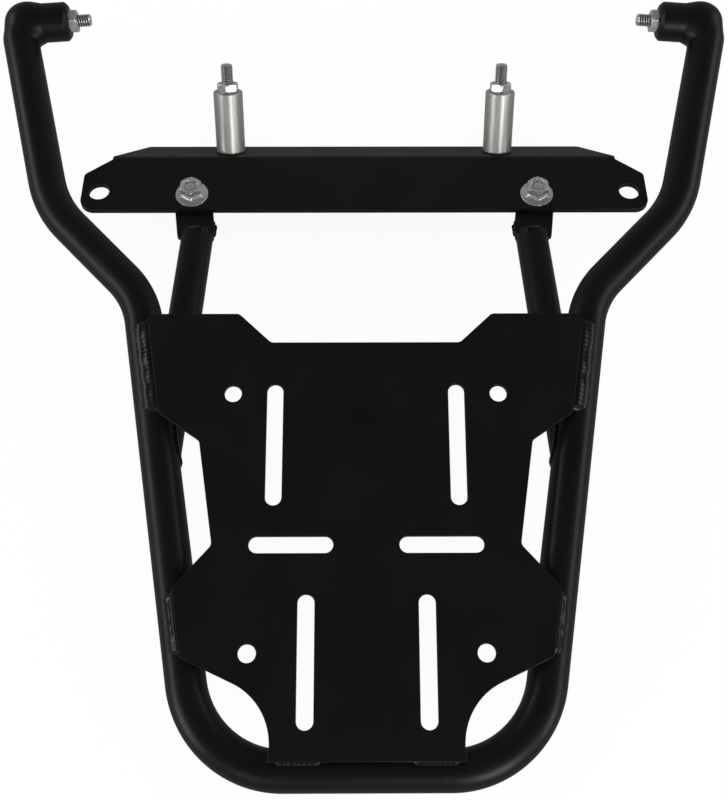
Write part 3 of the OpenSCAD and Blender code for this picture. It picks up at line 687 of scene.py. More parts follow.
def bright_metal(name, base, roughness, metallic, turn, streak, depth):
    """Bright steel. Fine marks left by the tool are drawn streak mm apart, coarser than the real ones, so
    that they show. Clouds about 3 mm wide change gloss and tint a little, and a thread's grooves are painted
    dark, a painted shade in the colour. The mapping turns the marks across the piece's axis."""
    material, tree = new_material(name)
    place = add_node(tree, "ShaderNodeTexCoord")
    turned_place = add_node(tree, "ShaderNodeMapping", {"Rotation": turn, "Scale": (0.12, 0.12, 1.0)},
                            {"Vector": place.outputs["Object"]})
    marks = add_node(tree, "ShaderNodeTexNoise", {
        "Scale": 1 / (streak * MM), "Detail": 4.0, "Roughness": 0.6,
    }, {"Vector": turned_place.outputs[0]})
    clouds = add_node(tree, "ShaderNodeTexNoise", {"Scale": 1 / 0.003, "Detail": 2.0},
                      {"Vector": place.outputs["Object"]})
    gloss = add_node(tree, "ShaderNodeMapRange", {
        "From Min": 0.3, "From Max": 0.7, "To Min": roughness * 0.85, "To Max": roughness * 1.2,
    }, {"Value": clouds.outputs["Fac"]})
    tint = add_node(tree, "ShaderNodeMix", {"data_type": "RGBA"}, {"Factor": clouds.outputs["Fac"]})
    tint.inputs[6].default_value = rgba([0.80 * c for c in base])
    tint.inputs[7].default_value = rgba(base)
    # Painted shade: the colour falls to 3 % of the base towards the bottom of a thread's grooves
    groove = add_node(tree, "ShaderNodeAttribute", {"attribute_name": "groove"})
    shade = add_node(tree, "ShaderNodeMix", {"data_type": "RGBA"}, {"Factor": groove.outputs["Fac"]})
    tree.links.new(tint.outputs[2], shade.inputs[6])
    shade.inputs[7].default_value = rgba([0.03 * c for c in base])
    relief = add_node(tree, "ShaderNodeBump", {"Strength": depth, "Distance": 0.00005},
                      {"Height": marks.outputs["Fac"]})
    shader = add_node(tree, "ShaderNodeBsdfPrincipled", {"Metallic": metallic}, {
        "Base Color": shade.outputs[2], "Roughness": gloss.outputs[0], "Normal": relief.outputs[0],
    })
    finish_surface(tree, shader)
    return material


def coats():
    """The rack's finishes, made once and then shared."""
    colours = bpy.context.scene.rack_colours
    if "satin_powder_coat_tube" not in bpy.data.materials:
        # Black polyester powder baked on drawn tube: it flows out on the curve, so its long streaks are soft
        powder_coat("satin_powder_coat_tube", 0.36, 0.25, 1.0)
        # The same powder on cut steel plate: it lies thicker and grainier on the flat, so it looks duller
        powder_coat("satin_powder_coat_plate", 0.40, 0.35, 2.0)
        # The same powder on the folded sheet of the bracket, with the plate's grain
        powder_coat("satin_powder_coat_bracket", 0.40, 0.35, 3.0)
        # The same powder pulled smooth over the weld's ripples: small bright glints on black
        powder_coat("glossy_powder_coat_weld", 0.24, 0.15, 4.0)
        # Electroplated zinc on forged bolts and nuts: a pale coat with clouds, and its faces reflect softly
        bright_metal("zinc_plated_steel", colours.zinc, 0.17, 0.80, (0, 0, 0), 0.35, 0.12)
        # Bare steel turned on a lathe: fine rings round the axis, with sharp streaks along it
        bright_metal("turned_steel", colours.steel, 0.06, 0.97, (DROP + FOLD, 0, 0), 0.5, 0.05)
        # Plated rod with a rolled thread: polished crests, and grooves painted dark as shade, where the light
        # hardly reaches
        bright_metal("rolled_thread_steel", colours.zinc, 0.18, 0.85, (0, 0, 0), 0.4, 0.0)
    return bpy.data.materials


# Operators: one for each piece or group of like pieces

def plate_loops():
    """Outline and openings of the carrier plate. The outline's right half runs from the front edge's middle
    to the rear edge's middle, and its scooped side is an arc of SCOOP_R about a point outside the tail."""
    def ear(y, overlap):
        # Corner of an ear: the leg's centre line at y, and outside it by the overlap square to the leg
        return (leg_x(y) + overlap / math.cos(LEG_ANGLE), y)

    tail = ear(-REAR_EAR_BACK_Y, REAR_EAR_OVERLAP)
    scoop = np.array([TAIL_HALF_W + SCOOP_R, 0.0])
    scoop[1] = tail[1] - (tail[0] - scoop[0]) * math.tan(TAIL_ANGLE) - SCOOP_R / math.cos(TAIL_ANGLE)
    touch = scoop + SCOOP_R * np.array([-math.sin(TAIL_ANGLE), math.cos(TAIL_ANGLE)])
    low = -PLATE_REAR_Y - scoop[1]
    end = scoop + (-math.sqrt(SCOOP_R ** 2 - low ** 2), low)
    right = rounded([
        (0, PLATE_FRONT_Y), (RECESS_HALF_W, PLATE_FRONT_Y), (RECESS_HALF_W + RECESS_RUN, EAR_FRONT_Y),
        ear(EAR_FRONT_Y, -FRONT_EAR_INSET), ear(FRONT_EAR_BACK_Y, -FRONT_EAR_INSET), WAIST_FRONT, WAIST_REAR,
        ear(-REAR_EAR_FRONT_Y, REAR_EAR_OVERLAP), tail, touch,
    ], (0, *([CORNER_R] * 8), 0))
    first = math.pi / 2 + TAIL_ANGLE
    last = math.atan2(end[1] - scoop[1], end[0] - scoop[0]) % (2 * math.pi)
    angles = np.linspace(first, last, 20)[1:]
    arc = scoop + SCOOP_R * np.stack([np.cos(angles), np.sin(angles)], -1)
    right = np.concatenate([right, arc, [(0, -PLATE_REAR_Y)]])
    outline = np.concatenate([right, right[-2:0:-1] * (-1, 1)])[::-1]
    loops = [outline]
    for _, side in SIDES:
        loops += [circle_loop((side * x, y), HOLE_R) for x, y in HOLES]
        loops += [slot_loop((side * x, y), slot_l, forwards) for (x, y), slot_l, forwards in SLOTS]
    return loops


def bracket_loops():
    """Outline and holes of the folded sheet, laid flat: x across it and u along it."""
    w, root = BRACKET_W / 2, FLANGE_ROOT_W / 2
    front = FOLD_U + FOLD_L + FLANGE_L
    fold = [(root, u) for u in np.linspace(FOLD_U, FOLD_U + FOLD_L, 7)]
    corners = [
        (0, BRACKET_REAR_L), (w, BRACKET_REAR_L), (w, BRACKET_REAR_L + FACE_DEPTH - END_CUT), *fold,
        (FLANGE_FRONT_W / 2, front), (0, front),
    ]
    right = rounded(corners, (0, BRACKET_CORNER_R, CORNER_R, *([0] * len(fold)), CORNER_R, 0))
    loops = [np.concatenate([right, right[-2:0:-1] * (-1, 1)])]
    for _, side in SIDES:
        loops.append(circle_loop((side * END_HOLE_HALF, BRACKET_REAR_L + END_HOLE_INSET), END_HOLE_R))
        loops.append(circle_loop((side * BOLT_HALF_W, BOLT_U), SHANK_HOLE_R))
        loops.append(circle_loop((side * SPACER_HALF_W, SPACER_U), SHANK_HOLE_R))
    return loops


def tab_loops():
    """Outline and bolt hole of a strut's tab, in the plane of the slope."""
    back = np.array([STRUT_END_HALF_W + TAB_GRIP_L * math.tan(STRUT_TOE), STRUT_RUN - TAB_GRIP_L])
    bolt = np.array([BOLT_HALF_W, BOLT_U])
    turn = math.atan2(*(bolt - back))
    tab_l, half = np.linalg.norm(bolt - back), TAB_W / 2
    loop = rounded([
        (-half, TAB_END_L), (-half, TAB_CHAMFER - tab_l), (TAB_CHAMFER - half, -tab_l),
        (half - TAB_CHAMFER, -tab_l), (half, TAB_CHAMFER - tab_l), (half, TAB_END_L),
    ], (TAB_CORNER_R, 0, 0, 0, 0, TAB_CORNER_R))
    spin = np.array([[math.cos(turn), -math.sin(turn)], [math.sin(turn), math.cos(turn)]])
    return [bolt + loop @ spin, circle_loop(bolt, SHANK_HOLE_R)]


def tube_stations():
    """Centre line of the whole tube as points and directions: straight runs joined by arcs, each arc a turn
    of the heading about a centre one bend radius to the inner side. The left half mirrors the right one."""
    corners = [np.array([leg_x(-BAR_Y), -BAR_Y]), KINK, SHOULDER]
    angles = [math.pi / 2, LEG_ANGLE, KINK_ANGLE, ARM_ANGLE]
    points = [np.array([[0.0, -BAR_Y]])]
    turns = [np.array([angles[0]])]
    for i, (corner, radius) in enumerate(zip(corners, BEND_RADII)):
        h0, h1 = angles[i], angles[i + 1]
        side = 1 if h1 > h0 else -1
        reach = radius * math.tan(abs(h1 - h0) / 2)
        start = corner - reach * heading(h0)[:2]
        centre = start + side * radius * np.array([math.cos(h0), -math.sin(h0)])
        h = np.linspace(h0, h1, int(abs(h1 - h0) / math.radians(1.6)) + 2)
        points.append(centre - side * radius * np.stack([np.cos(h), -np.sin(h)], -1))
        turns.append(h)
    # The last station but one keeps the tube's shading free of its cut end
    points.append(ARM_END - np.array([[DOME_LAP + 0.5], [DOME_LAP]]) * heading(ARM_ANGLE)[:2])
    turns.append(np.array([ARM_ANGLE, ARM_ANGLE]))
    right, h = np.concatenate(points), np.concatenate(turns)
    way = np.stack([np.sin(h), np.cos(h)], -1)
    centre_line = np.concatenate([right[:0:-1] * (-1, 1), right])
    return centre_line, np.concatenate([way[:0:-1] * (1, -1), way])


def sweep_ring(centre_line, way, r):
    """Circles of radius r square to a level centre line: centre + r (cos t * across + sin t * up)."""
    across = np.stack([way[:, 1], -way[:, 0]], -1)
    ring = centre_line[:, None] + r * np.cos(ROUND)[None, :, None] * across[:, None]
    z = TUBE_Z + r * np.sin(ROUND)[None] + 0 * ring[..., 0]
    return np.concatenate([ring, z[..., None]], -1)


def cylinder_exit(origins, direction, axis_point, axis, r):
    """Farther distance along each ray at which it leaves a round bar: the larger root of
    |(origin + s * direction - axis point) off the axis|^2 = r^2."""
    d = direction - axis * (direction @ axis)
    o = origins - axis_point
    o = o - (o @ axis)[:, None] * axis
    a, b, c = d @ d, 2 * o @ d, (o * o).sum(1) - r * r
    return (-b + np.sqrt(b * b - 4 * a * c)) / (2 * a)


def strut_curve(r, angles):
    """Where lines on a strut's skin of radius r leave the main tube's leg, with their radial directions."""
    axes = upright_axes(STRUT_AXIS, (1, 0, 0))
    radial = np.cos(angles)[:, None] * axes[0] + np.sin(angles)[:, None] * axes[1]
    leg_point = np.array([LEG_HALF_W, 0.0, TUBE_Z])
    s = cylinder_exit(STRUT_ROOT + r * radial, STRUT_AXIS, leg_point, heading(LEG_ANGLE), TUBE_R)
    return s, radial


class RackOperator:
    """What every operator here shares."""
    bl_options = {"REGISTER", "UNDO"}


class RACK_OT_stage(RackOperator, bpy.types.Operator):
    """Camera at the photograph's angle, a plain pale floor, a pale surround and soft studio lamps"""
    bl_idname = "rack.stage"
    bl_label = "Stage and camera"

    def execute(self, context):
        set_camera()
        set_floor()
        set_surround()
        # Two long boxes at the sides give the tubes their stripes, and narrow ones low behind the rack give
        # the spacers theirs. Each: name, place in metres, width and height, and brightness, where white is 1
        for name, place, size, brightness in (
            ("left_softbox", (-1.45, 0.15, 0.52), (1.8, 0.42), 2.6),
            ("right_softbox", (1.45, 0.15, 0.52), (1.8, 0.42), 1.9),
            ("rear_strip_1", (-1.29, -0.68, 0.36), (0.45, 0.55), 3.9),
            ("rear_strip_2", (-0.53, -1.24, 0.72), (0.25, 0.60), 2.1),
            ("rear_strip_3", (0.67, -1.18, 0.70), (0.42, 0.60), 8.4),
            ("rear_strip_4", (1.31, -0.65, 0.34), (0.32, 0.55), 3.0),
        ):
            aim = (0.0, 0.15, -0.02)
            power = brightness * math.pi * size[0] * size[1]
            lamp = bpy.data.lights.new(name, "AREA")
            lamp.shape = "RECTANGLE"
            lamp.size, lamp.size_y = size
            lamp.energy = power
            holder = bpy.data.objects.new(name, lamp)
            holder.location = place
            holder.rotation_euler = (Vector(aim) - Vector(place)).to_track_quat("-Z", "Y").to_euler()
            context.scene.collection.objects.link(holder)
        return {"FINISHED"}


def set_camera():
    """The camera fitted to the photograph: its place, its right, up and back directions, and a lens of
    focal length / photograph's width * sensor width."""
    data = bpy.data.cameras.new("photo_camera")
    data.sensor_fit = "HORIZONTAL"
    data.sensor_width = 36.0
    data.lens = FOCAL_LENGTH * data.sensor_width / PHOTO_W
    data.clip_end = 50.0
    camera = bpy.data.objects.new("photo_camera", data)
    right = Vector((0.99998666, -0.00338787, 0.00389827))
    up = Vector((0.00204505, 0.95283486, 0.30348236))
    back = -Vector((0.00474257, 0.30347034, -0.95282908))
    place = Matrix.Translation((-0.003988, -0.109325, 0.597742))
    camera.matrix_world = place @ Matrix((right, up, back)).transposed().to_4x4()
    bpy.context.scene.collection.objects.link(camera)
    bpy.context.scene.camera = camera
    bpy.context.scene.view_settings.view_transform = "Standard"


def seen_share(tree):
    """1 for rays from the camera and through glass, and the mirrored share for rays off a glossy surface. The
    photographed rack stood in a dim room, since its black coat has dark rims, so the share is below 1."""
    path = add_node(tree, "ShaderNodeLightPath")
    mirrored_part = add_node(tree, "ShaderNodeMath", {"operation": "MULTIPLY", 1: MIRRORED_SHARE},
                             {0: path.outputs["Is Glossy Ray"]})
    either = add_node(tree, "ShaderNodeMath", {"operation": "MAXIMUM"},
                      {0: path.outputs["Is Camera Ray"], 1: mirrored_part.outputs[0]})
    return add_node(tree, "ShaderNodeMath", {"operation": "MAXIMUM"},
                    {0: either.outputs[0], 1: path.outputs["Is Transmission Ray"]})


def set_floor():
    """Pale matt floor just below the rack. Its own white makes up for what the lamps leave, and the lit part
    of its colour keeps the rack's shadow."""
    colours = bpy.context.scene.rack_colours
    half, z = 6.0, CAD_BOX[0][2] - FLOOR_GAP
    mesh = bpy.data.meshes.new("floor")
    corners = [(-half, -half, z), (half, -half, z), (half, half, z), (-half, half, z)]
    mesh.from_pydata(corners, [], [(0, 1, 2, 3)])
    material, tree = new_material("matt_pale_floor")
    lit = add_node(tree, "ShaderNodeBsdfDiffuse", {"Color": rgba(colours.floor)})
    share = seen_share(tree)
    glow = add_node(tree, "ShaderNodeEmission", {"Color": rgba((1, 1, 1))}, {"Strength": share.outputs[0]})
    both = add_node(tree, "ShaderNodeMixShader", {"Fac": FLOOR_GLOW}, {1: lit.outputs[0], 2: glow.outputs[0]})
    straight = add_node(tree, "ShaderNodeMath", {"operation": "GREATER_THAN", 1: 0.0}, {0: share.outputs[0]})
    pick = add_node(tree, "ShaderNodeMixShader", None,
                    {"Fac": straight.outputs[0], 1: lit.outputs[0], 2: both.outputs[0]})
    finish_surface(tree, pick)
    mesh.materials.append(material)
    floor = bpy.data.objects.new("floor", mesh)
    bpy.context.scene.collection.objects.link(floor)


def set_surround():
    """Pale surround near the horizon, which fades to a dim ceiling that the rack's flat faces mirror."""
    world = bpy.data.worlds.new("surround")
    bpy.context.scene.world = world
    world.use_nodes = True
    tree = world.node_tree
    tree.nodes.clear()
    place = add_node(tree, "ShaderNodeTexCoord")
    parts = add_node(tree, "ShaderNodeSeparateXYZ", None, {0: place.outputs["Generated"]})
    # Dim above: the flat plate mirrors the sky over 65 degrees up, and the bracket's face the sky at some 35
    fade = add_node(tree, "ShaderNodeMapRange", {
        "From Min": 0.45, "From Max": 0.85, "To Min": 1.0, "To Max": 0.05,
    }, {"Value": parts.outputs["Z"]})
    share = seen_share(tree)
    level = add_node(tree, "ShaderNodeMath", {"operation": "MULTIPLY"},
                     {0: fade.outputs[0], 1: share.outputs[0]})
    seen = add_node(tree, "ShaderNodeBackground", {"Color": rgba((1, 1, 1))}, {"Strength": level.outputs[0]})
    light = add_node(tree, "ShaderNodeBackground", {"Color": rgba((1, 1, 1)), "Strength": SURROUND_LIGHT})
    straight = add_node(tree, "ShaderNodeMath", {"operation": "GREATER_THAN", 1: 0.0}, {0: share.outputs[0]})
    pick = add_node(tree, "ShaderNodeMixShader", None,
                    {"Fac": straight.outputs[0], 1: light.outputs[0], 2: seen.outputs[0]})
    add_node(tree, "ShaderNodeOutputWorld", links={"Surface": pick.outputs[0]})


class RACK_OT_carrier_plate(RackOperator, bpy.types.Operator):
    """Flat carrier plate with rounded edges, four holes and six slots"""
    bl_idname = "rack.carrier_plate"
    bl_label = "Carrier plate"

    def execute(self, context):
        def place(x, y, n):
            # The plate's upper face lies at zero
            return np.stack([x, y, n - PLATE_T], -1)

        shell, normals = sheet_shell(
            plate_loops(), np.array([[0.0, 30.0], [0.0, -30.0]]), PLATE_T,
            context.scene.rack_sizes.plate_edge / MM, place,
        )
        add_piece("carrier_plate", [shell], coats()["satin_powder_coat_plate"],
                  ["top_plate"], normals)
        return {"FINISHED"}


class RACK_OT_cross_bracket(RackOperator, bpy.types.Operator):
    """Folded cross bracket with rounded edges and drilled holes"""
    bl_idname = "rack.cross_bracket"
    bl_label = "Cross bracket"

    def execute(self, context):
        x, u = np.meshgrid(np.arange(-160.0, 161.0, 5.0), FOLD_U + FOLD_L * np.linspace(-0.15, 1.15, 13))
        shell, normals = sheet_shell(
            bracket_loops(), np.stack([x.ravel(), u.ravel()], -1), SHEET_T,
            context.scene.rack_sizes.sheet_edge / MM, on_sheet,
        )
        add_piece("folded_bracket", [shell], coats()["satin_powder_coat_bracket"],
                  ["cross_bracket"], normals)
        return {"FINISHED"}


class RACK_OT_main_tube(RackOperator, bpy.types.Operator):
    """Bent main tube, hollow and smooth round its bends"""
    bl_idname = "rack.main_tube"
    bl_label = "Main tube"

    def execute(self, context):
        centre_line, way = tube_stations()
        outer = sweep_ring(centre_line, way, TUBE_R)
        inner = sweep_ring(centre_line, way, TUBE_R - TUBE_WALL)
        shell = closed_shell(np.concatenate([outer, inner[::-1]]), False)
        add_piece("bent_tube", [shell], coats()["satin_powder_coat_tube"], ["main_tube"])
        return {"FINISHED"}


class RACK_OT_struts(RackOperator, bpy.types.Operator):
    """Two struts, coped to the main tube, and the tabs in their lower ends"""
    bl_idname = "rack.struts"
    bl_label = "Struts and tabs"

    def execute(self, context):
        # Stations close to both ends keep the tube's shading free of its cut ends
        share = np.array([0, 0.003, 0.25, 0.5, 0.75, 0.997, 1])[:, None]
        rings = []
        for r in (STRUT_R, STRUT_R - STRUT_WALL):
            start, radial = strut_curve(r, ROUND)
            end = np.where(radial @ SLOPE[2] * r > TAB_T / 4, STRUT_L - TAB_SHOW_L, STRUT_L)
            s = start + share * (end - start)
            rings.append(STRUT_ROOT + r * radial[None] + s[..., None] * STRUT_AXIS)
        tube = closed_shell(np.concatenate([rings[0], rings[1][::-1]]), False)
        for name, side in SIDES:
            def place(x, y, n):
                # The middle of the tab's thickness lies in the slope's plane
                return on_frame(np.stack([x, y, n - TAB_T / 2], -1), SLOPE_ORIGIN, SLOPE) * (side, 1, 1)

            add_piece("strut_tube_" + name, [mirrored_shell(tube, side)], coats()["satin_powder_coat_tube"],
                      ["strut_" + name])
            loops = tab_loops()
            shell, normals = sheet_shell(loops, np.array([loops[1].mean(0) - (0, 12.0)]), TAB_T,
                                         context.scene.rack_sizes.sheet_edge / MM, place)
            add_piece("strut_end_tab_" + name, [shell], coats()["satin_powder_coat_plate"],
                      ["strut_tab_" + name], normals)
        return {"FINISHED"}


def capsule(points, start, end, r):
    """Signed distance from a round-ended bar: the distance to the nearest point of its axis, less r."""
    axis = end - start
    share = np.clip((points - start) @ axis / (axis @ axis), 0, 1)
    return np.linalg.norm(points - start - share[..., None] * axis, axis=-1) - r


def melted(a, b, reach):
    """The lesser of two distances, less reach / 4 * (1 - |a - b| / reach)^2 where they are near each other,
    and that last share."""
    near = np.clip(1 - np.abs(a - b) / reach, 0, 1)
    return np.minimum(a, b) - reach / 4 * near ** 2, near


def arm_end_surface(reach, sink, ripple):
    """Dome of an arm's end with its boss, as one surface seen from the ball's centre. Along each direction
    the surface lies where the melted distance of arm, dome and boss is zero, found by stepping out by it."""
    around, down = np.meshgrid(np.linspace(0, 2 * math.pi, 180, endpoint=False),
                               np.linspace(0.01, math.pi - 0.01, 110))
    axes = upright_axes(BOSS_AXIS, (0, 0, 1))
    way = np.stack([np.sin(down) * np.cos(around), np.sin(down) * np.sin(around), np.cos(down)], -1) @ axes
    arm_end = np.array([ARM_END[0], ARM_END[1], TUBE_Z])
    arm_core = [arm_end - back * heading(ARM_ANGLE) for back in ARM_CORE]
    boss_core = [BALL + out * BOSS_AXIS for out in BOSS_CORE]
    distance = np.full(around.shape, 1.0)
    for _ in range(60):
        points = BALL + distance[..., None] * way
        arm = capsule(points, *arm_core, TUBE_R + SKIN_LIFT)
        dome = np.linalg.norm(points - BALL, axis=-1) - DOME_R
        body, _ = melted(arm, dome, DOME_BLEND)
        level, near = melted(body, capsule(points, *boss_core, BOSS_R + SKIN_LIFT), reach)
        wave = ripple * near * (1 - np.abs(np.sin(7 * around)))
        distance = distance - (level + sink + wave)
    return closed_shell(BALL + distance[..., None] * way)


class RACK_OT_arm_fittings(RackOperator, bpy.types.Operator):
    """Domed ends of the arms, each with a chamfered boss"""
    bl_idname = "rack.arm_fittings"
    bl_label = "Arm fittings"

    def execute(self, context):
        dome = arm_end_surface(0.5, 0.0, 0.0)
        boss = placed(turned([
            (0, 2), (BOSS_R, 2), (BOSS_R, BOSS_L - BOSS_CHAMFER), (BOSS_R - BOSS_CHAMFER, BOSS_L),
            (ENGAGED_R + 0.6, BOSS_L), (ENGAGED_R, BOSS_L - 0.6), (ENGAGED_R, BOSS_L - BOSS_THREAD_L),
            (0, BOSS_L - BOSS_THREAD_L),
        ], 0.5), BALL, upright_axes(BOSS_AXIS, (0, 0, 1)))
        for name, side in SIDES:
            add_piece("arm_end_" + name, [mirrored_shell(dome, side), mirrored_shell(boss, side)],
                      coats()["satin_powder_coat_tube"], ["end_fitting_" + name])
        return {"FINISHED"}


def ear_bead(y_back, y_front, overlap, reach, seed):
    """Broad weld from a plate ear's edge over the main tube. Across it the surface runs from the plate's
    upper edge to the tube's skin at reach beyond the centre line, raised by a parabola, 4v(1 - v), less
    ripples, the absolute sine of its length / pitch bent back by v. Toward both ends the section shrinks to
    the corner."""
    sizes = bpy.context.scene.rack_sizes
    bead_l = (y_front - y_back) / math.cos(LEG_ANGLE)
    s = np.linspace(0.01, bead_l - 0.01, int(bead_l / 0.25))[:, None]
    v = np.linspace(0, 1, 15)[None]
    random = np.random.default_rng(seed)
    knots = np.linspace(0, bead_l, 12)
    sway = np.interp(s[:, 0], knots, random.uniform(-1, 1, 12))[:, None]
    width = reach * (1 + 0.10 * sway)
    top, toe = (overlap - 0.3, -0.35), (width, TUBE_Z + np.sqrt(TUBE_R ** 2 - width ** 2) - 0.1)
    phase = s * MM / sizes.bead_pitch - 1.1 * (v - 0.5) ** 2 + 0.25 * sway
    hump = 4 * v * (1 - v)
    rise = (0.85 + 0.25 * sway) * hump - 0.13 * hump * (1 - np.abs(np.sin(math.pi * phase)))
    run = 0.16 * np.sin(3.2 * math.pi * v + 1.5 * sway) * hump
    out = top[0] + v * (toe[0] - top[0])
    up = top[1] + v * (toe[1] - top[1]) + rise + run
    corner = np.array([overlap, -PLATE_T - 0.5])
    back = np.array([[1.0, -7.0], [overlap - 0.6, -4.6], [overlap - 0.9, -2.0]])
    out = np.concatenate([out, np.broadcast_to(back[:, 0], (len(s), 3))], 1)
    up = np.concatenate([up, np.broadcast_to(back[:, 1], (len(s), 3))], 1)
    taper = np.sqrt(np.clip(np.minimum(s, bead_l - s) / 3.5, 0, 1))
    out, up = corner[0] + taper * (out - corner[0]), corner[1] + taper * (up - corner[1])
    outwards = np.array([math.cos(LEG_ANGLE), -math.sin(LEG_ANGLE), 0.0])
    start = np.array([leg_x(y_back), y_back, 0.0])
    points = start + s[..., None] * heading(LEG_ANGLE) + out[..., None] * outwards
    points[..., 2] += up
    return closed_shell(points)


class RACK_OT_plate_welds(RackOperator, bpy.types.Operator):
    """Rippled beads that join the carrier plate's ears and rear edge to the main tube"""
    bl_idname = "rack.plate_welds"
    bl_label = "Plate welds"

    def execute(self, context):
        material = coats()["glossy_powder_coat_weld"]
        # Each ear bead: piece, its rear and front ends along Y, the plate edge's overlap and the bead's reach
        for label, y_back, y_front, overlap, reach in (
            ("front_ear", FRONT_EAR_BACK_Y + 0.5, EAR_FRONT_Y - 2.0, -FRONT_EAR_INSET, FRONT_BEAD_REACH),
            ("rear_ear", 1.0 - REAR_EAR_BACK_Y, -REAR_EAR_FRONT_Y - 1.0, REAR_EAR_OVERLAP, REAR_BEAD_REACH),
        ):
            for seed, (name, side) in enumerate(SIDES):
                shell = ear_bead(y_back, y_front, overlap, reach, seed + 50)
                add_piece(label + "_bead_" + name, [mirrored_shell(shell, side)], material,
                          [label + "_weld_" + name])
        start = (TAIL_HALF_W - PLATE_BEAD_R - REAR_BEAD_L, -PLATE_REAR_Y, -PLATE_T)
        for seed, (name, side) in enumerate(SIDES):
            shell = straight_bead(start, (1, 0, 0), REAR_BEAD_L, (0, 0, 1), (0, -1, 0), 0.8 * PLATE_BEAD_R,
                                  seed + 7)
            add_piece("rear_edge_bead_" + name, [mirrored_shell(shell, side)], material,
                      ["rear_edge_weld_" + name])
        return {"FINISHED"}


class RACK_OT_joint_welds(RackOperator, bpy.types.Operator):
    """Rippled beads round the struts' roots, round the bosses' roots and along the struts' tabs"""
    bl_idname = "rack.joint_welds"
    bl_label = "Joint welds"

    def execute(self, context):
        material, smooth = coats()["glossy_powder_coat_weld"], coats()["satin_powder_coat_tube"]
        face = context.scene.rack_sizes.bead_face / MM
        for seed, (name, side) in enumerate(SIDES):
            for label, node, coat, shells in (
                ("strut_root_bead_", "strut_weld_", material, [strut_bead(face, seed + 20)]),
                ("boss_root_bead_", "fitting_weld_", smooth, [arm_end_surface(BOSS_FILLET, 0.04, 0.06)]),
                ("strut_tab_bead_", "tab_weld_", material, tab_beads(seed + 40)),
            ):
                beads = [mirrored_shell(shell, side) for shell in shells]
                add_piece(label + name, beads, coat, [node + name])
        return {"FINISHED"}


def strut_bead(face, seed):
    """Bead along the closed curve where a strut's skin leaves the main tube. Its radius keeps the bead's
    face one width across: face / (2 sin(half the open angle))."""
    coarse = np.linspace(0, 2 * math.pi, 4001)
    s, radial = strut_curve(STRUT_R, coarse)
    curve = STRUT_ROOT + STRUT_R * radial + s[:, None] * STRUT_AXIS
    run = np.concatenate([[0], np.cumsum(np.linalg.norm(np.diff(curve, axis=0), axis=1))])
    angles = np.interp(np.linspace(0, run[-1], int(run[-1] / 0.3), endpoint=False), run, coarse)
    s, radial = strut_curve(STRUT_R, angles)
    path = STRUT_ROOT + STRUT_R * radial + s[:, None] * STRUT_AXIS
    leg = heading(LEG_ANGLE)
    off = path - (LEG_HALF_W, 0, TUBE_Z)
    n1 = unit(off - (off @ leg)[:, None] * leg)
    along = unit(np.cross(n1, radial))
    a, b = np.cross(along, n1), np.cross(along, radial)
    a = a * np.sign((a * radial).sum(1))[:, None]
    b = b * np.sign((b * n1).sum(1))[:, None]
    out = unit(n1 + radial)
    half = np.arccos(np.clip((a * out).sum(1), -1, 1))
    radius = np.minimum(face / (2 * np.sin(half)), 9.0)
    return bead_shell(path, a, b, out, radius, True, seed)


def tab_beads(seed):
    """The weld over the end of a strut's upper half, and beads where the tab's edges leave the lower half.
    The first is a lumpy ellipsoid about the strut's axis, whose radius swells by a sum of sines."""
    axes = upright_axes(STRUT_AXIS, SLOPE[0])
    around, along = np.meshgrid(ROUND, np.linspace(0.02, math.pi - 0.02, 40))
    lump = 1 + 0.035 * np.sin(5 * around + 3 * along) + 0.03 * np.sin(9 * around - 5 * along + 1)
    local = np.stack([
        (STRUT_R + 0.1) * np.sin(along) * np.cos(around) * lump,
        (STRUT_R + 0.1) * np.sin(along) * np.sin(around) * lump,
        STRUT_L - TAB_SHOW_L - 0.5 - 7.0 * np.cos(along) * lump,
    ], -1)
    local[..., 1] = np.minimum(local[..., 1], 1.0)
    shells = [placed(closed_shell(local), STRUT_ROOT, axes)]
    for k, sx in enumerate((1, -1)):
        z = -TAB_T / 2
        x = sx * math.sqrt(STRUT_R ** 2 - z ** 2)
        start = STRUT_ROOT + (STRUT_L - TAB_GRIP_L + TAB_CHAMFER) * STRUT_AXIS + x * axes[0] + z * SLOPE[2]
        fall = -SLOPE[2] - sx * 0.15 * axes[0]
        bead_l = TAB_GRIP_L - TAB_CHAMFER - 0.2
        shells.append(straight_bead(start, STRUT_AXIS, bead_l, sx * axes[0], fall, 1.5, seed + k))
    return shells


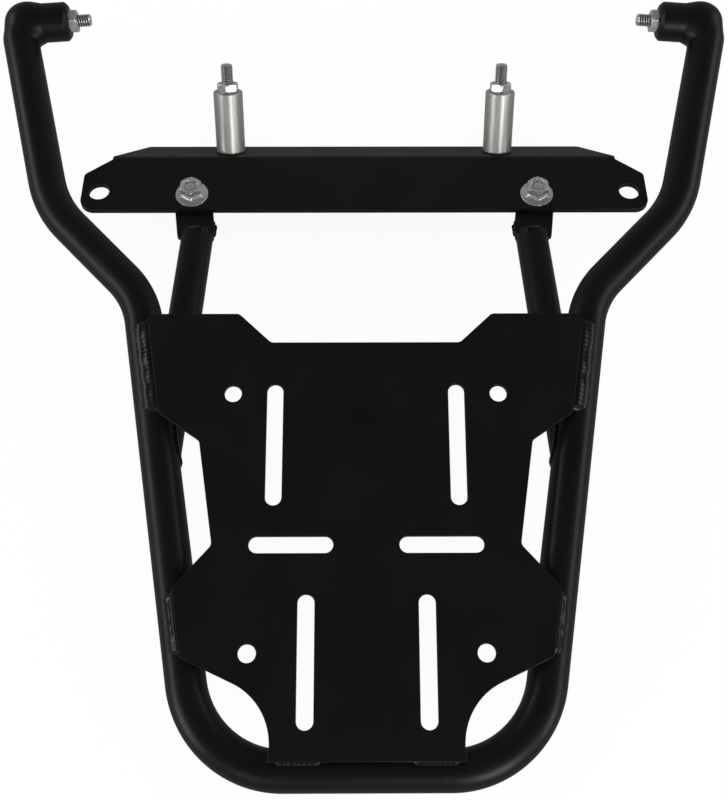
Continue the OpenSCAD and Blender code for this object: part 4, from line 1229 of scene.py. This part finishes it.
class RACK_OT_bracket_fasteners(RackOperator, bpy.types.Operator):
    """Flanged bolts with dished heads on the cross bracket, and the washers and nuts below"""
    bl_idname = "rack.bracket_fasteners"
    bl_label = "Bracket bolts"

    def execute(self, context):
        edge = context.scene.rack_sizes.hardware_edge / MM
        # Head: flange, hexagon, chamfer, ring, dish and the raised button in its middle
        head = turned([
            (0, 0), (BOLT_FLANGE_R, 0), (BOLT_FLANGE_R, 0.9), (HEX + 0.9, 1.7), (HEX, 2.6),
            (HEX, BOLT_HEAD_H - HEX_FALL), (HEX_RIM - 0.1, BOLT_HEAD_H), (4.9, BOLT_HEAD_H),
            (4.2, BOLT_HEAD_H - 2.4), (3.2, BOLT_HEAD_H - 2.4), (2.6, BOLT_HEAD_H - 1.0),
            (0, BOLT_HEAD_H - 0.8),
        ], edge)
        grip = SHEET_T + TAB_T + WASHER_T
        shank, groove = threaded_bar(grip, NUT_H, BOLT_END_L)
        washer = turned([
            (SHANK_HOLE_R, 0), (WASHER_R, 0), (WASHER_R, WASHER_T), (SHANK_HOLE_R, WASHER_T),
        ], edge, True)
        for name, side in SIDES:
            down = upright_axes(mirrored(-SLOPE[2], side), (1, 0, 0))
            up = upright_axes(mirrored(SLOPE[2], side), (1, 0, 0))

            def at(z):
                # The point of the bolt's axis that lies z over the slope's plane
                return mirrored(on_frame([BOLT_HALF_W, BOLT_U, z], SLOPE_ORIGIN, SLOPE), side)

            top, under = SHEET_Z + SHEET_T, -TAB_T / 2
            add_piece("flange_bolt_" + name, [placed(shank, at(top), down), placed(head, at(top), up)],
                      coats()["zinc_plated_steel"], ["bracket_bolt_" + name], groove=groove)
            add_piece("plain_washer_" + name, [placed(washer, at(under), down)],
                      coats()["zinc_plated_steel"], ["bracket_washer_" + name])
            add_piece("bracket_hex_nut_" + name, [placed(hex_nut(NUT_H, edge), at(under - WASHER_T), down)],
                      coats()["zinc_plated_steel"], ["bracket_nut_" + name])
        return {"FINISHED"}


class RACK_OT_spacers(RackOperator, bpy.types.Operator):
    """Turned spacers on the bracket's flange, with their long bolts and thin nuts"""
    bl_idname = "rack.spacers"
    bl_label = "Spacers"

    def execute(self, context):
        edge = context.scene.rack_sizes.hardware_edge / MM
        sleeve = turned([
            (SHANK_HOLE_R, 0), (SPACER_R - 0.8, 0), (SPACER_R, 0.8), (SPACER_R, SPACER_L - 0.8),
            (SPACER_R - 0.8, SPACER_L), (SHANK_HOLE_R, SPACER_L),
        ], edge, True)
        grip = SHEET_T + SPACER_L
        bar, groove = threaded_bar(grip, THIN_NUT_H, SPACER_FREE_L)
        head = turned([
            (0, 0), (HEX, 0), (HEX, SPACER_HEAD_H - HEX_FALL), (HEX_RIM, SPACER_HEAD_H), (0, SPACER_HEAD_H),
        ], edge)
        angle = DROP + FOLD
        rise = np.array([0.0, math.sin(angle), math.cos(angle)])
        foot = on_sheet(np.array(SPACER_HALF_W), np.array(SPACER_U), np.array(SHEET_T))
        for name, side in SIDES:
            up, down = upright_axes(rise, (1, 0, 0)), upright_axes(-rise, (1, 0, 0))
            base = mirrored(foot, side)
            add_piece("spacer_sleeve_" + name, [placed(sleeve, base, up)], coats()["turned_steel"],
                      ["spacer_" + name])
            add_piece("long_bolt_" + name,
                      [placed(bar, base - SHEET_T * rise, up), placed(head, base - SHEET_T * rise, down)],
                      coats()["rolled_thread_steel"], ["spacer_bolt_" + name], groove=groove)
            nut = placed(hex_nut(THIN_NUT_H, edge), base + SPACER_L * rise, up)
            add_piece("spacer_hex_nut_" + name, [nut],
                      coats()["zinc_plated_steel"], ["spacer_nut_" + name])
        return {"FINISHED"}


class RACK_OT_side_studs(RackOperator, bpy.types.Operator):
    """Threaded studs and thin nuts on the arms' bosses"""
    bl_idname = "rack.side_studs"
    bl_label = "Side studs"

    def execute(self, context):
        stud, groove = threaded_bar(0, BOSS_THREAD_L + THIN_NUT_H, SIDE_STUD_FREE_L)
        nut = hex_nut(THIN_NUT_H, context.scene.rack_sizes.hardware_edge / MM)
        for name, side in SIDES:
            axes = upright_axes(mirrored(BOSS_AXIS, side), (0, 0, 1))
            start = mirrored(BALL + (BOSS_L - BOSS_THREAD_L) * BOSS_AXIS, side)
            seat = mirrored(BALL + BOSS_L * BOSS_AXIS, side)
            add_piece("side_thread_" + name, [placed(stud, start, axes)], coats()["rolled_thread_steel"],
                      ["side_stud_" + name], groove=groove)
            add_piece("side_hex_nut_" + name, [placed(nut, seat, axes)], coats()["zinc_plated_steel"],
                      ["side_nut_" + name])
        return {"FINISHED"}


# Panel, registration and run

OPERATORS = (
    RACK_OT_stage, RACK_OT_carrier_plate, RACK_OT_cross_bracket, RACK_OT_main_tube, RACK_OT_struts,
    RACK_OT_arm_fittings, RACK_OT_plate_welds, RACK_OT_joint_welds, RACK_OT_bracket_fasteners,
    RACK_OT_spacers, RACK_OT_side_studs,
)


class RACK_PT_panel(bpy.types.Panel):
    """Lists the rack's sizes, colours and pieces"""
    bl_idname = "RACK_PT_panel"
    bl_label = "Luggage rack"
    bl_space_type = "VIEW_3D"
    bl_region_type = "UI"
    bl_category = "Luggage rack"

    def draw(self, context):
        for group in (context.scene.rack_sizes, context.scene.rack_colours):
            box = self.layout.box()
            for name in group.__annotations__:
                box.prop(group, name)
        for operator in OPERATORS:
            self.layout.operator(operator.bl_idname)


CLASSES = (RackSizes, RackColours, *OPERATORS, RACK_PT_panel)


def register():
    """Makes classes and properties known."""
    for item in CLASSES:
        bpy.utils.register_class(item)
    bpy.types.Scene.rack_sizes = PointerProperty(type=RackSizes)
    bpy.types.Scene.rack_colours = PointerProperty(type=RackColours)


def unregister():
    """Takes them away again, in the opposite order."""
    del bpy.types.Scene.rack_colours
    del bpy.types.Scene.rack_sizes
    for item in reversed(CLASSES):
        bpy.utils.unregister_class(item)


def main():
    """Runs each operator once."""
    register()
    for operator in OPERATORS:
        group, name = operator.bl_idname.split(".")
        getattr(getattr(bpy.ops, group), name)()


if __name__ == "__main__":
    main()
